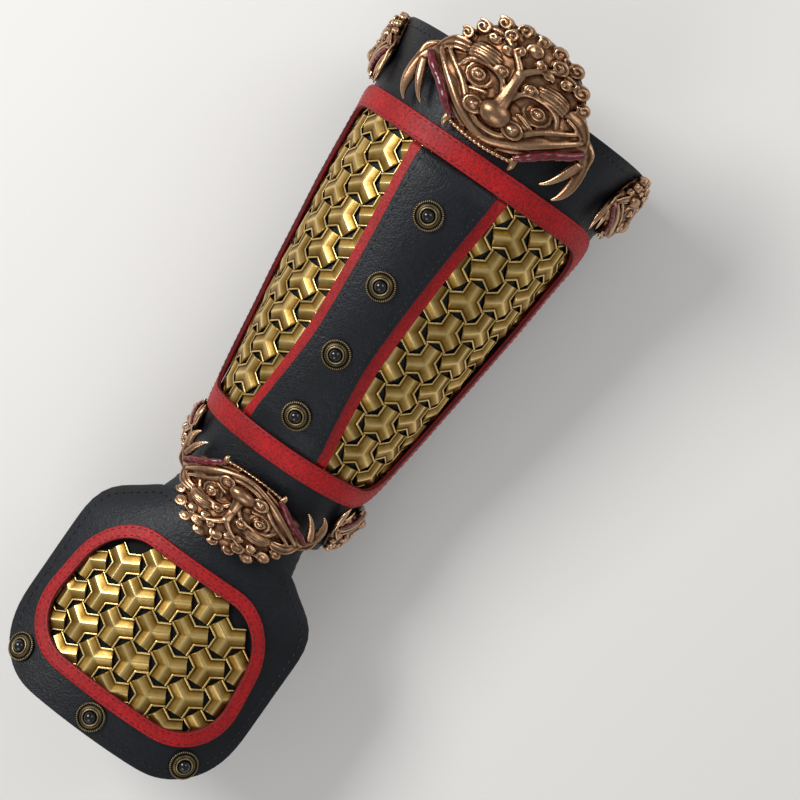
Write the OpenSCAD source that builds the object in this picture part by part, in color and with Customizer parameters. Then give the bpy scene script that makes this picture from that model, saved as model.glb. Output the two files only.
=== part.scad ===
// Leather bracer with a hinged hand guard, lying on its back buckles.
// X runs along the arm towards the elbow, Z points up through the centre strip.

/* [Forearm] */
// Length of the forearm shell, wrist to elbow
forearm_len = 244; // [200:1:290]
// Outer width of the shell at the elbow
elbow_w = 130; // [110:1:145]
// Outer depth of the shell at the elbow
elbow_d = 108; // [90:1:125]
// Outer width of the shell at the wrist
wrist_w = 76; // [70:1:92]
// Outer depth of the shell at the wrist
wrist_d = 72; // [66:1:84]
// How far the middle of the shell swells past a straight taper
muscle_swell = 2.5; // [0:0.5:6]
// Width of the open gap along the back
back_gap = 26; // [18:1:36]
// Thickness of the shell leather
shell_t = 2.2; // [1.6:0.1:3]
// Thickness of the suede lining
lining_t = 1; // [0.8:0.1:2]
// Thickness of the black outer cover
cover_t = 2.6; // [2:0.1:3.4]

/* [Red frame] */
// Black leather showing between the wrist end and the red frame
wrist_collar = 30; // [20:1:44]
// Black leather showing between the red frame and the elbow rim
elbow_collar = 37; // [28:1:50]
// Width of the red frame's leather
frame_w = 11.5; // [8:0.5:15]
// Thickness of the red frame's leather
frame_t = 2.4; // [1.2:0.1:3]
// Angle from the top to the inner edge of the red frame's sides
frame_side = 82; // [66:1:88]
// Corner radius of the red frame's inner edge
frame_corner = 17; // [10:1:26]

/* [Centre strip] */
// Width of the strip at the elbow end
strip_elbow_w = 37; // [30:1:48]
// Width of the strip at its waist
strip_waist_w = 25; // [20:1:34]
// Width of the strip at the wrist end
strip_wrist_w = 35; // [28:1:44]
// Place of the waist, as a share of the strip's length from the wrist
strip_waist_at = 0.36; // [0.2:0.01:0.8]
// Thickness of the black strip
strip_t = 3; // [2:0.1:4.5]
// Width of red edging that shows beside the strip
edging_w = 5.5; // [3:0.5:8]
// Thickness of the red edging
edging_t = 1; // [0.8:0.1:2]

/* [Scales] */
// Distance between neighbouring scales
scale_pitch = 18; // [14:0.5:22]
// Width of a scale's arm
scale_arm_w = 8.6; // [6:0.1:9]
// Thickness of a scale at its edges
scale_edge_t = 0.9; // [0.6:0.1:1.4]
// Height of a scale along its ridges
scale_ridge_t = 2.2; // [1.6:0.1:2.4]

/* [Studs] */
// Diameter of a round stud
concho_d = 15; // [11:0.5:18]
// Height of a stud's disc
concho_h = 2.6; // [1.8:0.1:4]
// Diameter of the black bead in a stud
bead_d = 6.4; // [4:0.1:8]
// Diameter of the stud posts and rivets
post_d = 3; // [2:0.1:4]
// Diameter of the posts' flat inner caps
post_cap_d = 8; // [6:0.5:10]
// Thickness of the posts' flat inner caps
post_cap_t = 0.8; // [0.5:0.1:1.5]

/* [Beast heads] */
// Width of an elbow head, across the arm
elbow_head_w = 86; // [70:1:94]
// Length of an elbow head, along the arm
elbow_head_l = 60; // [48:1:66]
// Height of an elbow head
elbow_head_h = 20; // [14:1:28]
// Width of a wrist head, across the arm
wrist_head_w = 74; // [60:1:76]
// Length of a wrist head, along the arm
wrist_head_l = 40; // [36:1:44]
// Height of a wrist head
wrist_head_h = 16; // [10:1:20]
// Angle from the top to the elbow heads on the sides
elbow_side_at = 88; // [84:1:92]
// Size of an elbow's side head, as a share of the top one
elbow_side_share = 0.62; // [0.56:0.01:0.7]
// Angle from the top to the wrist heads on the sides
wrist_side_at = 100; // [98:1:104]
// Size of a wrist's side head, as a share of the top one
wrist_side_share = 0.74; // [0.6:0.01:0.78]
// Radius that an elbow head is curved to
elbow_head_curve = 76; // [70:1:90]
// Radius that a wrist head is curved to
wrist_head_curve = 50; // [46:1:60]
// Wall of a cast head
cast_wall = 2.4; // [1.6:0.1:3]

/* [Hand guard] */
// Length of the soft neck between shell and guard
neck_len = 12; // [9:1:18]
// Length from the wrist end to the guard's tip
guard_len = 133; // [116:1:150]
// Width of the guard over its curve
guard_w = 136; // [116:1:146]
// Thickness of the guard leather
guard_t = 2.4; // [1.8:0.1:3.4]
// Radius that the guard curves over the hand
guard_curve = 110; // [90:1:130]
// Angle that the guard slopes down from level
guard_droop = -5; // [-8:1:6]
// Width of the guard's red ring
ring_w = 7.5; // [5:0.5:11]
// Distance from the wrist end to the ring's outer edge
ring_start = 32; // [28:1:44]
// Black leather showing between the ring and the tip
ring_end = 17; // [12:1:26]
// Black leather showing at each side of the ring
ring_side = 8; // [5:1:14]
// Width of the strap under the palm
palm_strap_w = 20; // [14:1:26]
// Depth of the palm strap's loop under the guard
palm_loop = 46; // [38:1:52]

/* [Back straps] */
// Width of a strap
strap_w = 18; // [14:1:20]
// Thickness of a strap
strap_t = 1.8; // [1.4:0.1:2.4]
// Thickness of each layer of a buckle chape
chape_t = 1.2; // [0.8:0.1:1.6]
// Diameter of a buckle's centre bar
bar_d = 2.6; // [2:0.1:3]
// Thickness of a buckle's frame
buckle_t = 2.6; // [2.2:0.1:3]
// Length of a buckle, across the gap
buckle_l = 26; // [24:1:30]
// Width of a buckle's rails
rail_w = 3; // [2.4:0.1:4]
// Width of a buckle's prong
prong_w = 2.6; // [2:0.1:3]
// Running clearance round a buckle's bar
bar_play = 0.08; // [0.05:0.01:0.1]

/* [Hidden] */

// Space left between two layers that lie on each other
lay = 0.3;
// Steps round the shell, and along it
round_steps = 36;
long_steps = 8;

// Heights over the shell's outer face at which each layer starts
cover_h = lay;
scale_h = 0.55;
frame_h = max(cover_h + cover_t, scale_h + scale_ridge_t) + lay;
edging_h = scale_h + scale_ridge_t + lay;
strip_h = edging_h + edging_t + lay;
lining_h = -shell_t - lay - lining_t;
chape_h = cover_h + cover_t + lay;
strap_h = chape_h + 2 * chape_t + lay;
keeper_t = 1.4;

// The shell's outer face stands this high over the buckles' lowest faces
buckle_gap = 0.2;
base_z = strap_h + strap_t + buckle_gap + buckle_t;
bar_z = base_z - strap_h + lay + chape_t + bar_play + bar_d / 2;

function lerp(a, b, f) = a + (b - a) * f;
function share(s) = s / forearm_len;
function swell(s) = muscle_swell * sin(180 * min(max(share(s), 0), 1));
function arm_a(s) = lerp(wrist_w, elbow_w, share(s)) / 2 + swell(s);
function arm_b(s) = lerp(wrist_d, elbow_d, share(s)) / 2 + swell(s);
function arm_r(s) = (arm_a(s) + arm_b(s)) / 2;
function edge_deg(s) = 180 - asin(back_gap / 2 / arm_a(s));
function flat_deg(w, s) = w / arm_r(s) * 180 / PI;

// A point on the forearm: s along it, deg from the top, h over the shell's outer face
head_gap = 0.5;
tip_reach = guard_len * cos(guard_droop);
elbow_reach = max(forearm_len, forearm_len - elbow_collar + head_gap + elbow_head_l);
x_mid = (elbow_reach - tip_reach) / 2;
function on_arm(s, deg, h) = [
    s - x_mid,
    (arm_a(s) + h) * sin(deg),
    base_z + arm_b(s) + (arm_b(s) + h) * cos(deg)];

// A point on the guard: d from the wrist end to the tip, w across it, h over its lower face
neck_r = wrist_w * wrist_w / wrist_d / 2;
guard_base_h = -guard_t / 2;
function ease(f) = f <= 0 ? 0 : (f >= 1 ? 1 : f * f * (3 - 2 * f));
function guard_r(d) = lerp(neck_r, guard_curve, ease(d / 50));
function on_guard(d, w, h) =
    let (r = guard_r(d), a = w / r * 180 / PI, up = (r + h) * cos(a) - r)
    [-x_mid - d * cos(guard_droop) - up * sin(guard_droop),
        (r + h) * sin(a),
        base_z + 2 * arm_b(0) + guard_base_h - d * sin(guard_droop) + up * cos(guard_droop)];

// Reads a list of lists as one list
function flat(lists) = [for (l = lists) each l];
function tri_volume(p, f) = cross(p[f[0]], p[f[1]]) * p[f[2]];
function sum(v, i = 0) = i < len(v) ? v[i] + sum(v, i + 1) : 0;
function outward(p, faces) =
    sum([for (f = faces) tri_volume(p, f)]) > 0 ? [for (f = faces) [f[2], f[1], f[0]]] : faces;

// A solid from triangles, turned the right way out
module solid(p, faces) {
    polyhedron(points = p, faces = outward(p, faces), convexity = 8);
}

// A sheet between two grids of points; closed joins each row's end to its start
module sheet(top, bot, closed = false) {
    n = len(top);
    m = len(top[0]);
    last = closed ? m - 1 : m - 2;
    b = n * m;
    faces = concat(
        [for (i = [0:n - 2], j = [0:last]) let (k = (j + 1) % m) each [
            [i * m + j, i * m + k, (i + 1) * m + k],
            [i * m + j, (i + 1) * m + k, (i + 1) * m + j],
            [b + i * m + j, b + (i + 1) * m + k, b + i * m + k],
            [b + i * m + j, b + (i + 1) * m + j, b + (i + 1) * m + k]]],
        [for (j = [0:last]) let (k = (j + 1) % m, e = (n - 1) * m) each [
            [j, b + j, b + k],
            [j, b + k, k],
            [e + j, e + k, b + e + k],
            [e + j, b + e + k, b + e + j]]],
        closed ? [] : [for (i = [0:n - 2], e = [0, 1]) let (j = e * (m - 1)) each e == 0
            ? [[i * m + j, (i + 1) * m + j, b + (i + 1) * m + j],
                [i * m + j, b + (i + 1) * m + j, b + i * m + j]]
            : [[i * m + j, b + (i + 1) * m + j, (i + 1) * m + j],
                [i * m + j, b + i * m + j, b + (i + 1) * m + j]]]);
    solid(concat(flat(top), flat(bot)), faces);
}

// A rounded rectangle of points, from x0 to x1 and y0 to y1, corner radii rx and ry
function rounded_loop(x0, x1, y0, y1, rx, ry, nx = 8, ny = 12, nc = 4) = concat(
    [for (i = [0:nx - 1]) [lerp(x0 + rx, x1 - rx, i / nx), y0]],
    [for (i = [0:nc - 1]) [x1 - rx + rx * sin(90 * i / nc), y0 + ry - ry * cos(90 * i / nc)]],
    [for (i = [0:ny - 1]) [x1, lerp(y0 + ry, y1 - ry, i / ny)]],
    [for (i = [0:nc - 1]) [x1 - rx + rx * cos(90 * i / nc), y1 - ry + ry * sin(90 * i / nc)]],
    [for (i = [0:nx - 1]) [lerp(x1 - rx, x0 + rx, i / nx), y1]],
    [for (i = [0:nc - 1]) [x0 + rx - rx * sin(90 * i / nc), y1 - ry + ry * cos(90 * i / nc)]],
    [for (i = [0:ny - 1]) [x0, lerp(y1 - ry, y0 + ry, i / ny)]],
    [for (i = [0:nc - 1]) [x0 + rx - rx * cos(90 * i / nc), y0 + ry - ry * sin(90 * i / nc)]]);
function arm_loop(loop, h) = [for (p = loop) on_arm(p[0], p[1], h)];
function guard_loop(loop, h) = [for (p = loop) on_guard(p[0], p[1], h)];

// Turns what stands on z = 0 so that it stands on the forearm
module at_arm(s, deg, h) {
    normal = atan2(sin(deg) / arm_a(s), cos(deg) / arm_b(s));
    rise = (arm_b(s + 1) - arm_b(s - 1)) / 2 * (1 + cos(deg));
    spread = (arm_a(s + 1) - arm_a(s - 1)) / 2 * sin(deg);
    slope = atan(rise * cos(normal) + spread * sin(normal));
    translate(on_arm(s, deg, 0))
        rotate([-normal, 0, 0])
            rotate([0, -slope, 0])
                translate([0, 0, h])
                    children();
}

// Turns what stands on z = 0 so that it stands on the guard
module at_guard(d, w, h) {
    translate(on_guard(d, w, h))
        rotate([0, -guard_droop, 0])
            rotate([-w / guard_r(d) * 180 / PI, 0, 0])
                children();
}

// Frame outlines in arm coordinates, grown outwards by g
window_s0 = wrist_collar + frame_w;
window_s1 = forearm_len - elbow_collar - frame_w;
mid_r = arm_r(forearm_len / 2);
frame_steps = 28;
function frame_loop(g) =
    let (gd = g / mid_r * 180 / PI, r = max(frame_corner + g, 2), rd = r / mid_r * 180 / PI)
    rounded_loop(window_s0 - g, window_s1 + g, -frame_side - gd, frame_side + gd, r, rd, ny = frame_steps);
cover_grow = frame_w - 1.5;
function window_half(s, g) =
    let (r = frame_corner + g, past = max(window_s0 - g + r - s, s - window_s1 - g + r, 0),
        keep = 1 - sqrt(max(1 - pow(past / r, 2), 0)))
    frame_side + (g - r * keep) * 180 / PI / mid_r;
module window_block(g, low, high) {
    r = frame_corner + g;
    s0 = window_s0 - g;
    s1 = window_s1 + g;
    stations = concat([for (i = [0:5]) s0 + r * (1 - cos(18 * i))],
        [for (i = [1:3]) lerp(s0 + r, s1 - r, i / 4)], [for (i = [5:-1:0]) s1 - r * (1 - cos(18 * i))]);
    sheet([for (s = stations) [for (j = [0:24]) on_arm(s, window_half(s, g) * (j / 12 - 1), high)]],
        [for (s = stations) [for (j = [0:24]) on_arm(s, window_half(s, g) * (j / 12 - 1), low)]]);
}

// Rows of points over the whole shell at height h
function arm_rows(h) = [for (i = [0:long_steps]) let (s = forearm_len * i / long_steps, e = edge_deg(s))
    [for (j = [0:round_steps]) on_arm(s, lerp(-e, e, j / round_steps), h)]];

// Where the studs and rivets go through the forearm's leather, as [s, deg]
stud_from_wrist = 17;
stud_from_elbow = 24;
stud_crowding = 1.06;
stud_at = [for (i = [0:3])
    [lerp(window_s0 + stud_from_wrist, window_s1 - stud_from_elbow, pow(i / 3, stud_crowding)), 0]];
elbow_sides = [0, elbow_side_at, -elbow_side_at];
wrist_sides = [0, wrist_side_at, -wrist_side_at];
elbow_head_s = forearm_len - elbow_collar + head_gap + elbow_head_l / 2;
wrist_head_s = wrist_head_l / 2 - 18;
wrist_side_s = wrist_collar + 1 - wrist_head_l * wrist_side_share / 2;
elbow_side_s = forearm_len - elbow_collar + head_gap + elbow_head_l * elbow_side_share / 2;
elbow_rivet_at = [for (deg = elbow_sides, ds = [-8, 8]) [(deg == 0 ? elbow_head_s - 10 : elbow_side_s) + ds, deg]];
wrist_rivet_at = [for (deg = wrist_sides, ds = [-6, 8]) [(deg == 0 ? wrist_head_s + 10 : wrist_side_s) + ds, deg]];
closure_at = [wrist_collar + 14, forearm_len / 2, forearm_len - 30];
function back_deg(w, s) = 180 - flat_deg(w, s);
strap_fixed_w = -40;
chape_fixed_w = 21;
rivet_half = strap_w / 2 - 4.5;
strap_rivet_at = [for (s = closure_at, w = [strap_fixed_w, chape_fixed_w], ds = [-rivet_half, rivet_half])
    [s + ds, back_deg(w, s)]];
hole_play = 0.25;

// Punches a hole through the leather at each place in the list
module arm_holes(places) {
    for (p = places)
        at_arm(p[0], p[1], 0)
            translate([0, 0, -9])
                cylinder(d = post_d + 2 * hole_play, h = 24, $fn = 12);
}

module forearm_shell() {
    color([0.09, 0.1, 0.11])
        difference() {
            sheet(arm_rows(0), arm_rows(-shell_t));
            arm_holes(concat(stud_at, elbow_rivet_at, wrist_rivet_at, strap_rivet_at));
        }
}

module forearm_lining() {
    color([0.3, 0.22, 0.16])
        difference() {
            sheet(arm_rows(lining_h + lining_t), arm_rows(lining_h));
            arm_holes(concat(stud_at, elbow_rivet_at, wrist_rivet_at, strap_rivet_at));
        }
}

// The cover's window lies under the red frame, which hides its edge
module outer_cover() {
    color([0.1, 0.11, 0.12])
        difference() {
            sheet(arm_rows(cover_h + cover_t), arm_rows(cover_h));
            window_block(cover_grow, cover_h - 3, cover_h + cover_t + 3);
            arm_holes(concat(elbow_rivet_at, wrist_rivet_at, strap_rivet_at));
        }
}

module red_frame() {
    rings = [frame_loop(frame_w), frame_loop(0)];
    color([0.72, 0.1, 0.13])
        sheet([for (r = rings) arm_loop(r, frame_h + frame_t)], [for (r = rings) arm_loop(r, frame_h)],
            closed = true);
}

// Half width of the black strip, waisted between its ends
function strip_half(s) =
    let (f = (s - window_s0) / (window_s1 - window_s0))
    f < strip_waist_at
        ? lerp(strip_waist_w, strip_wrist_w, pow(1 - f / strip_waist_at, 1.5)) / 2
        : lerp(strip_waist_w, strip_elbow_w, pow((f - strip_waist_at) / (1 - strip_waist_at), 1.5)) / 2;
strip_end_t = 1.1;
strip_rise = 9;
function strip_top(s) =
    let (from_end = min(s - window_s0, window_s1 - s))
    strip_h + lerp(strip_end_t, strip_t, ease(from_end / strip_rise));
function strip_rows(grow, top, h, n = 14, m = 6) = [for (i = [0:n])
    let (s = lerp(window_s0 + lay, window_s1 - lay, i / n), half = strip_half(s) + grow)
    [for (j = [0:m]) on_arm(s, flat_deg(lerp(-half, half, j / m), s), top ? strip_top(s) : h)]];

module center_strip() {
    color([0.11, 0.12, 0.13])
        difference() {
            sheet(strip_rows(0, true, 0), strip_rows(0, false, strip_h));
            arm_holes(stud_at);
        }
}

module strip_red_edging() {
    color([0.7, 0.1, 0.14])
        difference() {
            sheet(strip_rows(edging_w, false, edging_h + edging_t), strip_rows(edging_w, false, edging_h));
            arm_holes(stud_at);
        }
}

// One scale's outline: three blunt arms, and a notch between each two
notch_r = scale_arm_w / sqrt(3);
arm_reach = scale_pitch - scale_pitch / sqrt(3) / 2 - scale_arm_w / 2 / sqrt(3) - 0.55;
function scale_outline(turn) = flat([for (a = [0, 120, 240]) let (c = cos(a + turn), s = sin(a + turn)) [
    [arm_reach * c + scale_arm_w / 2 * s, arm_reach * s - scale_arm_w / 2 * c],
    [arm_reach * c - scale_arm_w / 2 * s, arm_reach * s + scale_arm_w / 2 * c],
    [notch_r * cos(a + turn + 60), notch_r * sin(a + turn + 60)]]]);

// One scale about a place, where put turns local x, y and height into a point
module one_scale(x, y, turn, base_h, put) {
    rim = scale_outline(turn);
    ridge_end = arm_reach - 0.6;
    points = concat(
        [for (p = rim) put(x + p[0], y + p[1], base_h + scale_edge_t)],
        [for (p = rim) put(x + p[0], y + p[1], base_h)],
        [for (a = [0, 120, 240])
            put(x + ridge_end * cos(a + turn), y + ridge_end * sin(a + turn), base_h + scale_ridge_t * 0.8)],
        [put(x, y, base_h + scale_ridge_t), put(x, y, base_h)]);
    faces = concat(
        [for (k = [0:2]) let (a = 3 * k, b = 3 * k + 1, before = (3 * k + 8) % 9, e = 18 + k) each [
            [a, b, e], [21, before, a], [21, a, e], [21, e, b], [21, b, b + 1]]],
        [for (k = [0:8]) let (n = (k + 1) % 9) each [[k, 9 + k, 9 + n], [k, 9 + n, n], [22, 9 + n, 9 + k]]]);
    solid(points, faces);
}

// Places of the scales: rows along the arm, one lattice direction along it
row_gap = scale_pitch * sqrt(3) / 2;
scale_inset = 0.6;
function in_window(s, w, inset) = let (g = cover_grow - inset)
    s > window_s0 - g && s < window_s1 + g && abs(flat_deg(w, s)) < window_half(s, g);
function all_in(x, y, test) = min([for (p = scale_outline(0)) test(x + p[0], y + p[1]) ? 1 : 0]) == 1;
scale_shift_s = 6;
scale_shift_w = 4;
function panel_places(whole) = [for (j = [0:6], i = [-1:12])
    let (s = window_s0 - 8 + scale_shift_s + (i + (j % 2) / 2) * scale_pitch, w = scale_shift_w + j * row_gap,
        full = all_in(s, w, function (s, w) in_window(s, w, scale_inset)))
    if (in_window(s, w, 3) && full == whole && w > strip_half(s) - 0.5) [s, w]];

// Scales at the window's edge are cut off along it, under the red frame
module scale_panel(side) {
    color([0.78, 0.6, 0.26]) {
        for (p = panel_places(true))
            one_scale(p[0], p[1] * side, 0, scale_h, function (s, w, h) on_arm(s, flat_deg(w, s), h));
        intersection() {
            for (p = panel_places(false))
                one_scale(p[0], p[1] * side, 0, scale_h, function (s, w, h) on_arm(s, flat_deg(w, s), h));
            window_block(cover_grow - scale_inset, -1, frame_h);
        }
    }
}
module scale_panel_left() {
    scale_panel(1);
}
module scale_panel_right() {
    scale_panel(-1);
}

// A round stud's disc with a seat for its bead, standing on z = 0
bead_play = 0.15;
seat_h = 1.1;
module concho() {
    r = concho_d / 2;
    b = bead_d / 2 + bead_play;
    rotate_extrude($fn = 48)
        polygon([[0, 0], [r - 0.4, 0], [r, 0.4], [r, 1], [r - 0.5, 1.4], [r - 1.4, 1.3], [b + 1.5, concho_h - 0.3],
            [b + 0.9, concho_h], [b, concho_h - 0.2], [b, seat_h], [0, seat_h]]);
}
module bead() {
    translate([0, 0, seat_h + 0.02])
        intersection() {
            translate([0, 0, bead_d * 0.08])
                sphere(d = bead_d, $fn = 32);
            cylinder(d = bead_d + 1, h = bead_d, $fn = 32);
        }
}

// A post from the stud's back to a flat cap inside, drawn down from z = 0
module post(length) {
    translate([0, 0, -length])
        cylinder(d = post_d, h = length, $fn = 24);
    translate([0, 0, -length - post_cap_t])
        cylinder(d = post_cap_d, h = post_cap_t, $fn = 32);
}
stud_play = 0.1;
cap_play = 0.45;
module strip_conchos() {
    color([0.33, 0.29, 0.22])
        for (p = stud_at)
            at_arm(p[0], p[1], strip_top(p[0]) + stud_play)
                concho();
}
module strip_beads() {
    color([0.03, 0.03, 0.03])
        for (p = stud_at)
            at_arm(p[0], p[1], strip_top(p[0]) + stud_play)
                bead();
}
module strip_posts() {
    color([0.55, 0.5, 0.42])
        for (p = stud_at)
            at_arm(p[0], p[1], strip_top(p[0]) + stud_play - 0.02)
                post(strip_top(p[0]) + stud_play - 0.02 - lining_h + cap_play);
}

// Height of a cast beast face, p from brow (-1) to mouth (1), q across it
function bump(p, q, cp, cq, r) = exp(-(pow(p - cp, 2) + pow(q - cq, 2)) / (r * r));
function twin(p, q, cp, cq, r) = bump(p, q, cp, cq, r) + bump(p, q, cp, -cq, r);
function face_relief(p, q) =
    0.42 * sqrt(max(1 - p * p * 0.9 - q * q * 0.9, 0)) + 0.38 * bump(p, q, 0.42, 0, 0.24)
    + 0.26 * twin(p, q, 0.02, 0.36, 0.17) + 0.2 * twin(p, q, -0.3, 0.3, 0.2)
    + 0.16 * twin(p, q, 0.5, 0.5, 0.22) + 0.2 * bump(p, q, -0.62, 0, 0.2)
    + 0.18 * twin(p, q, -0.6, 0.5, 0.2) + 0.14 * twin(p, q, -0.05, 0.8, 0.16);
head_seat = cover_h + cover_t + lay;
overhang_lift = 0.5;
function seat_at(s, w, curve) =
    head_seat + max(-s, 0) * overhang_lift + w * w * max(1 / arm_r(s) - 1 / curve, 0) / 2;

// One cast head, hollow behind; mouth is 1 where the mouth faces the elbow, else -1
module head(s0, deg, len_s, wide, high, mouth, curve, n = 12, m = 16) {
    function spot(i, j) = let (x = 2 * i / n - 1, y = 2 * j / m - 1)
        [x * sqrt(1 - y * y * 0.42), y * sqrt(1 - x * x * 0.42)];
    function rows(back) = [for (i = [0:n]) [for (j = [0:m])
        let (f = spot(i, j),
            rim = i == 0 || i == n || j == 0 || j == m,
            relief = cast_wall + (rim ? 0 : (high - cast_wall) * face_relief(f[0] * mouth, f[1])),
            s = s0 + f[0] * len_s / 2,
            w = f[1] * wide / 2,
            h = back ? max(relief - cast_wall - 0.001, 0) : relief)
        on_arm(s, deg + flat_deg(w, s0), seat_at(s, w, curve) + h)]];
    color([0.55, 0.36, 0.26])
        sheet(rows(false), rows(true));
}
module elbow_head_center() {
    head(elbow_head_s, 0, elbow_head_l, elbow_head_w, elbow_head_h, -1, elbow_head_curve);
}
module elbow_side_head(k) {
    g = elbow_side_share;
    head(elbow_side_s, elbow_sides[k], elbow_head_l * g, elbow_head_w * g, elbow_head_h * g, -1,
        elbow_head_curve);
}
module elbow_head_left() {
    elbow_side_head(1);
}
module elbow_head_right() {
    elbow_side_head(2);
}
module wrist_side_head(k) {
    g = wrist_side_share;
    head(wrist_side_s, wrist_sides[k], wrist_head_l * g, wrist_head_w * g, wrist_head_h * g, 1,
        wrist_head_curve);
}
module wrist_head_center() {
    head(wrist_head_s, 0, wrist_head_l, wrist_head_w, wrist_head_h, 1, wrist_head_curve);
}
module wrist_head_left() {
    wrist_side_head(1);
}
module wrist_head_right() {
    wrist_side_head(2);
}

// A riveted post, from a cap inside the lining to a cap at height top outside
module rivet(place, top) {
    at_arm(place[0], place[1], top + stud_play)
        union() {
            post(top + stud_play - lining_h + cap_play);
            cylinder(d = post_cap_d - 1, h = post_cap_t, $fn = 32);
        }
}

// A head's posts end just short of the casting's hollow back
post_end_gap = 3.6;
module head_posts(places, s0, len_s, high, mouth) {
    for (p = places) {
        relief = (high - cast_wall) * face_relief((p[0] - s0) / len_s * 2 * mouth, 0);
        top = head_seat + max(relief - post_end_gap, 0.2);
        at_arm(p[0], p[1], top)
            post(top - lining_h + cap_play);
    }
}
module elbow_head_rivets() {
    g = elbow_side_share;
    color([0.5, 0.36, 0.22]) {
        head_posts([for (p = elbow_rivet_at) if (p[1] == 0) p], elbow_head_s, elbow_head_l, elbow_head_h, -1);
        head_posts([for (p = elbow_rivet_at) if (p[1] != 0) p], elbow_side_s, elbow_head_l * g,
            elbow_head_h * g, -1);
    }
}
module wrist_head_rivets() {
    g = wrist_side_share;
    color([0.5, 0.36, 0.22]) {
        head_posts([for (p = wrist_rivet_at) if (p[1] == 0) p], wrist_head_s, wrist_head_l, wrist_head_h, 1);
        head_posts([for (p = wrist_rivet_at) if (p[1] != 0) p], wrist_side_s, wrist_head_l * g,
            wrist_head_h * g, 1);
    }
}

// The soft neck bridges the end faces of the shell and of the guard
neck_t = 1.6;
neck_half = wrist_w * 0.56;
neck_rows_n = 4;
function neck_start(w) = lay + neck_r * (1 - cos(w / neck_r * 180 / PI)) * tan(guard_droop);
function neck_row(f, h) = [for (j = [0:14]) let (w = lerp(-neck_half, neck_half, j / 14))
    on_guard(lerp(neck_start(w), neck_len - lay, f), w, h)];
module wrist_gusset() {
    shares = [for (i = [0:neck_rows_n]) i / neck_rows_n];
    color([0.08, 0.09, 0.1])
        sheet([for (f = shares) neck_row(f, neck_t)], [for (f = shares) neck_row(f, 0)]);
}

// Half width of the guard at d, flared from the neck and rounded at the tip
flare_len = 22;
tip_corner = 36;
function guard_half(d) =
    let (full = guard_w / 2, past = d - (guard_len - tip_corner))
    past > 0
        ? full - tip_corner + sqrt(max(tip_corner * tip_corner - past * past, 0))
        : lerp(neck_half, full, ease((d - neck_len) / flare_len));
guard_stations = concat(
    [for (i = [0:5]) neck_len + flare_len * i / 5],
    [for (i = [1:3]) lerp(neck_len + flare_len, guard_len - tip_corner, i / 3)],
    [for (i = [1:6]) guard_len - tip_corner + tip_corner * sin(15 * i)]);
function guard_rows(h) = [for (d = guard_stations)
    [for (j = [0:20]) on_guard(d, guard_half(d) * (j / 10 - 1), h)]];

// Heights over the guard's lower face
backing_t = 1.4;
guard_cover_h = backing_t + lay;
guard_scale_h = backing_t + 0.55;
ring_h = max(guard_cover_h + guard_t, guard_scale_h + scale_ridge_t) + lay;
ring_t = 2;
side_stud_w = guard_w / 2 - 18.5;
guard_stud_at = [[guard_len - 9, 0], [guard_len - 14, side_stud_w], [guard_len - 14, -side_stud_w]];

// Ring outline in guard coordinates, grown outwards by g and narrower towards the wrist
ring_taper = 0.14;
ring_corner = 26;
function ring_loop(g) =
    let (d0 = ring_start + ring_w, d1 = guard_len - ring_end - ring_w, half = guard_w / 2 - ring_side - ring_w)
    [for (p = rounded_loop(d0 - g, d1 + g, -half - g, half + g, ring_corner + g, ring_corner + g, 5, 8, 5))
        [p[0], p[1] * (1 - ring_taper * (d1 - p[0]) / (d1 - d0))]];
module guard_holes() {
    for (p = guard_stud_at)
        at_guard(p[0], p[1], -4)
            cylinder(d = post_d + 2 * hole_play, h = 12, $fn = 12);
}
module guard_lining() {
    color([0.28, 0.2, 0.15])
        difference() {
            sheet(guard_rows(backing_t), guard_rows(0));
            guard_holes();
        }
}

// The guard leather's window lies under the red ring, which hides its edge
function ring_half(d, g) =
    let (d0 = ring_start + ring_w, d1 = guard_len - ring_end - ring_w, r = ring_corner + g,
        half = guard_w / 2 - ring_side - ring_w + g, past = max(d0 - g + r - d, d - d1 - g + r, 0))
    (half - r + sqrt(max(r * r - past * past, 0))) * (1 - ring_taper * (d1 - d) / (d1 - d0));
module ring_window(g) {
    d0 = ring_start + ring_w - g;
    d1 = guard_len - ring_end - ring_w + g;
    r = ring_corner + g;
    stations = concat([for (i = [0:5]) d0 + r * (1 - cos(18 * i))], [lerp(d0 + r, d1 - r, 0.5)],
        [for (i = [5:-1:0]) d1 - r * (1 - cos(18 * i))]);
    sheet([for (d = stations) [for (j = [0:16]) on_guard(d, ring_half(d, g) * (j / 8 - 1), ring_h + 3)]],
        [for (d = stations) [for (j = [0:16]) on_guard(d, ring_half(d, g) * (j / 8 - 1), -2)]]);
}
module guard_leather() {
    color([0.1, 0.11, 0.12])
        difference() {
            sheet(guard_rows(guard_cover_h + guard_t), guard_rows(guard_cover_h));
            ring_window(ring_w - 1);
            guard_holes();
        }
}
module guard_red_ring() {
    rings = [ring_loop(ring_w), ring_loop(0)];
    color([0.72, 0.1, 0.13])
        sheet([for (r = rings) guard_loop(r, ring_h + ring_t)], [for (r = rings) guard_loop(r, ring_h)],
            closed = true);
}

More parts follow.
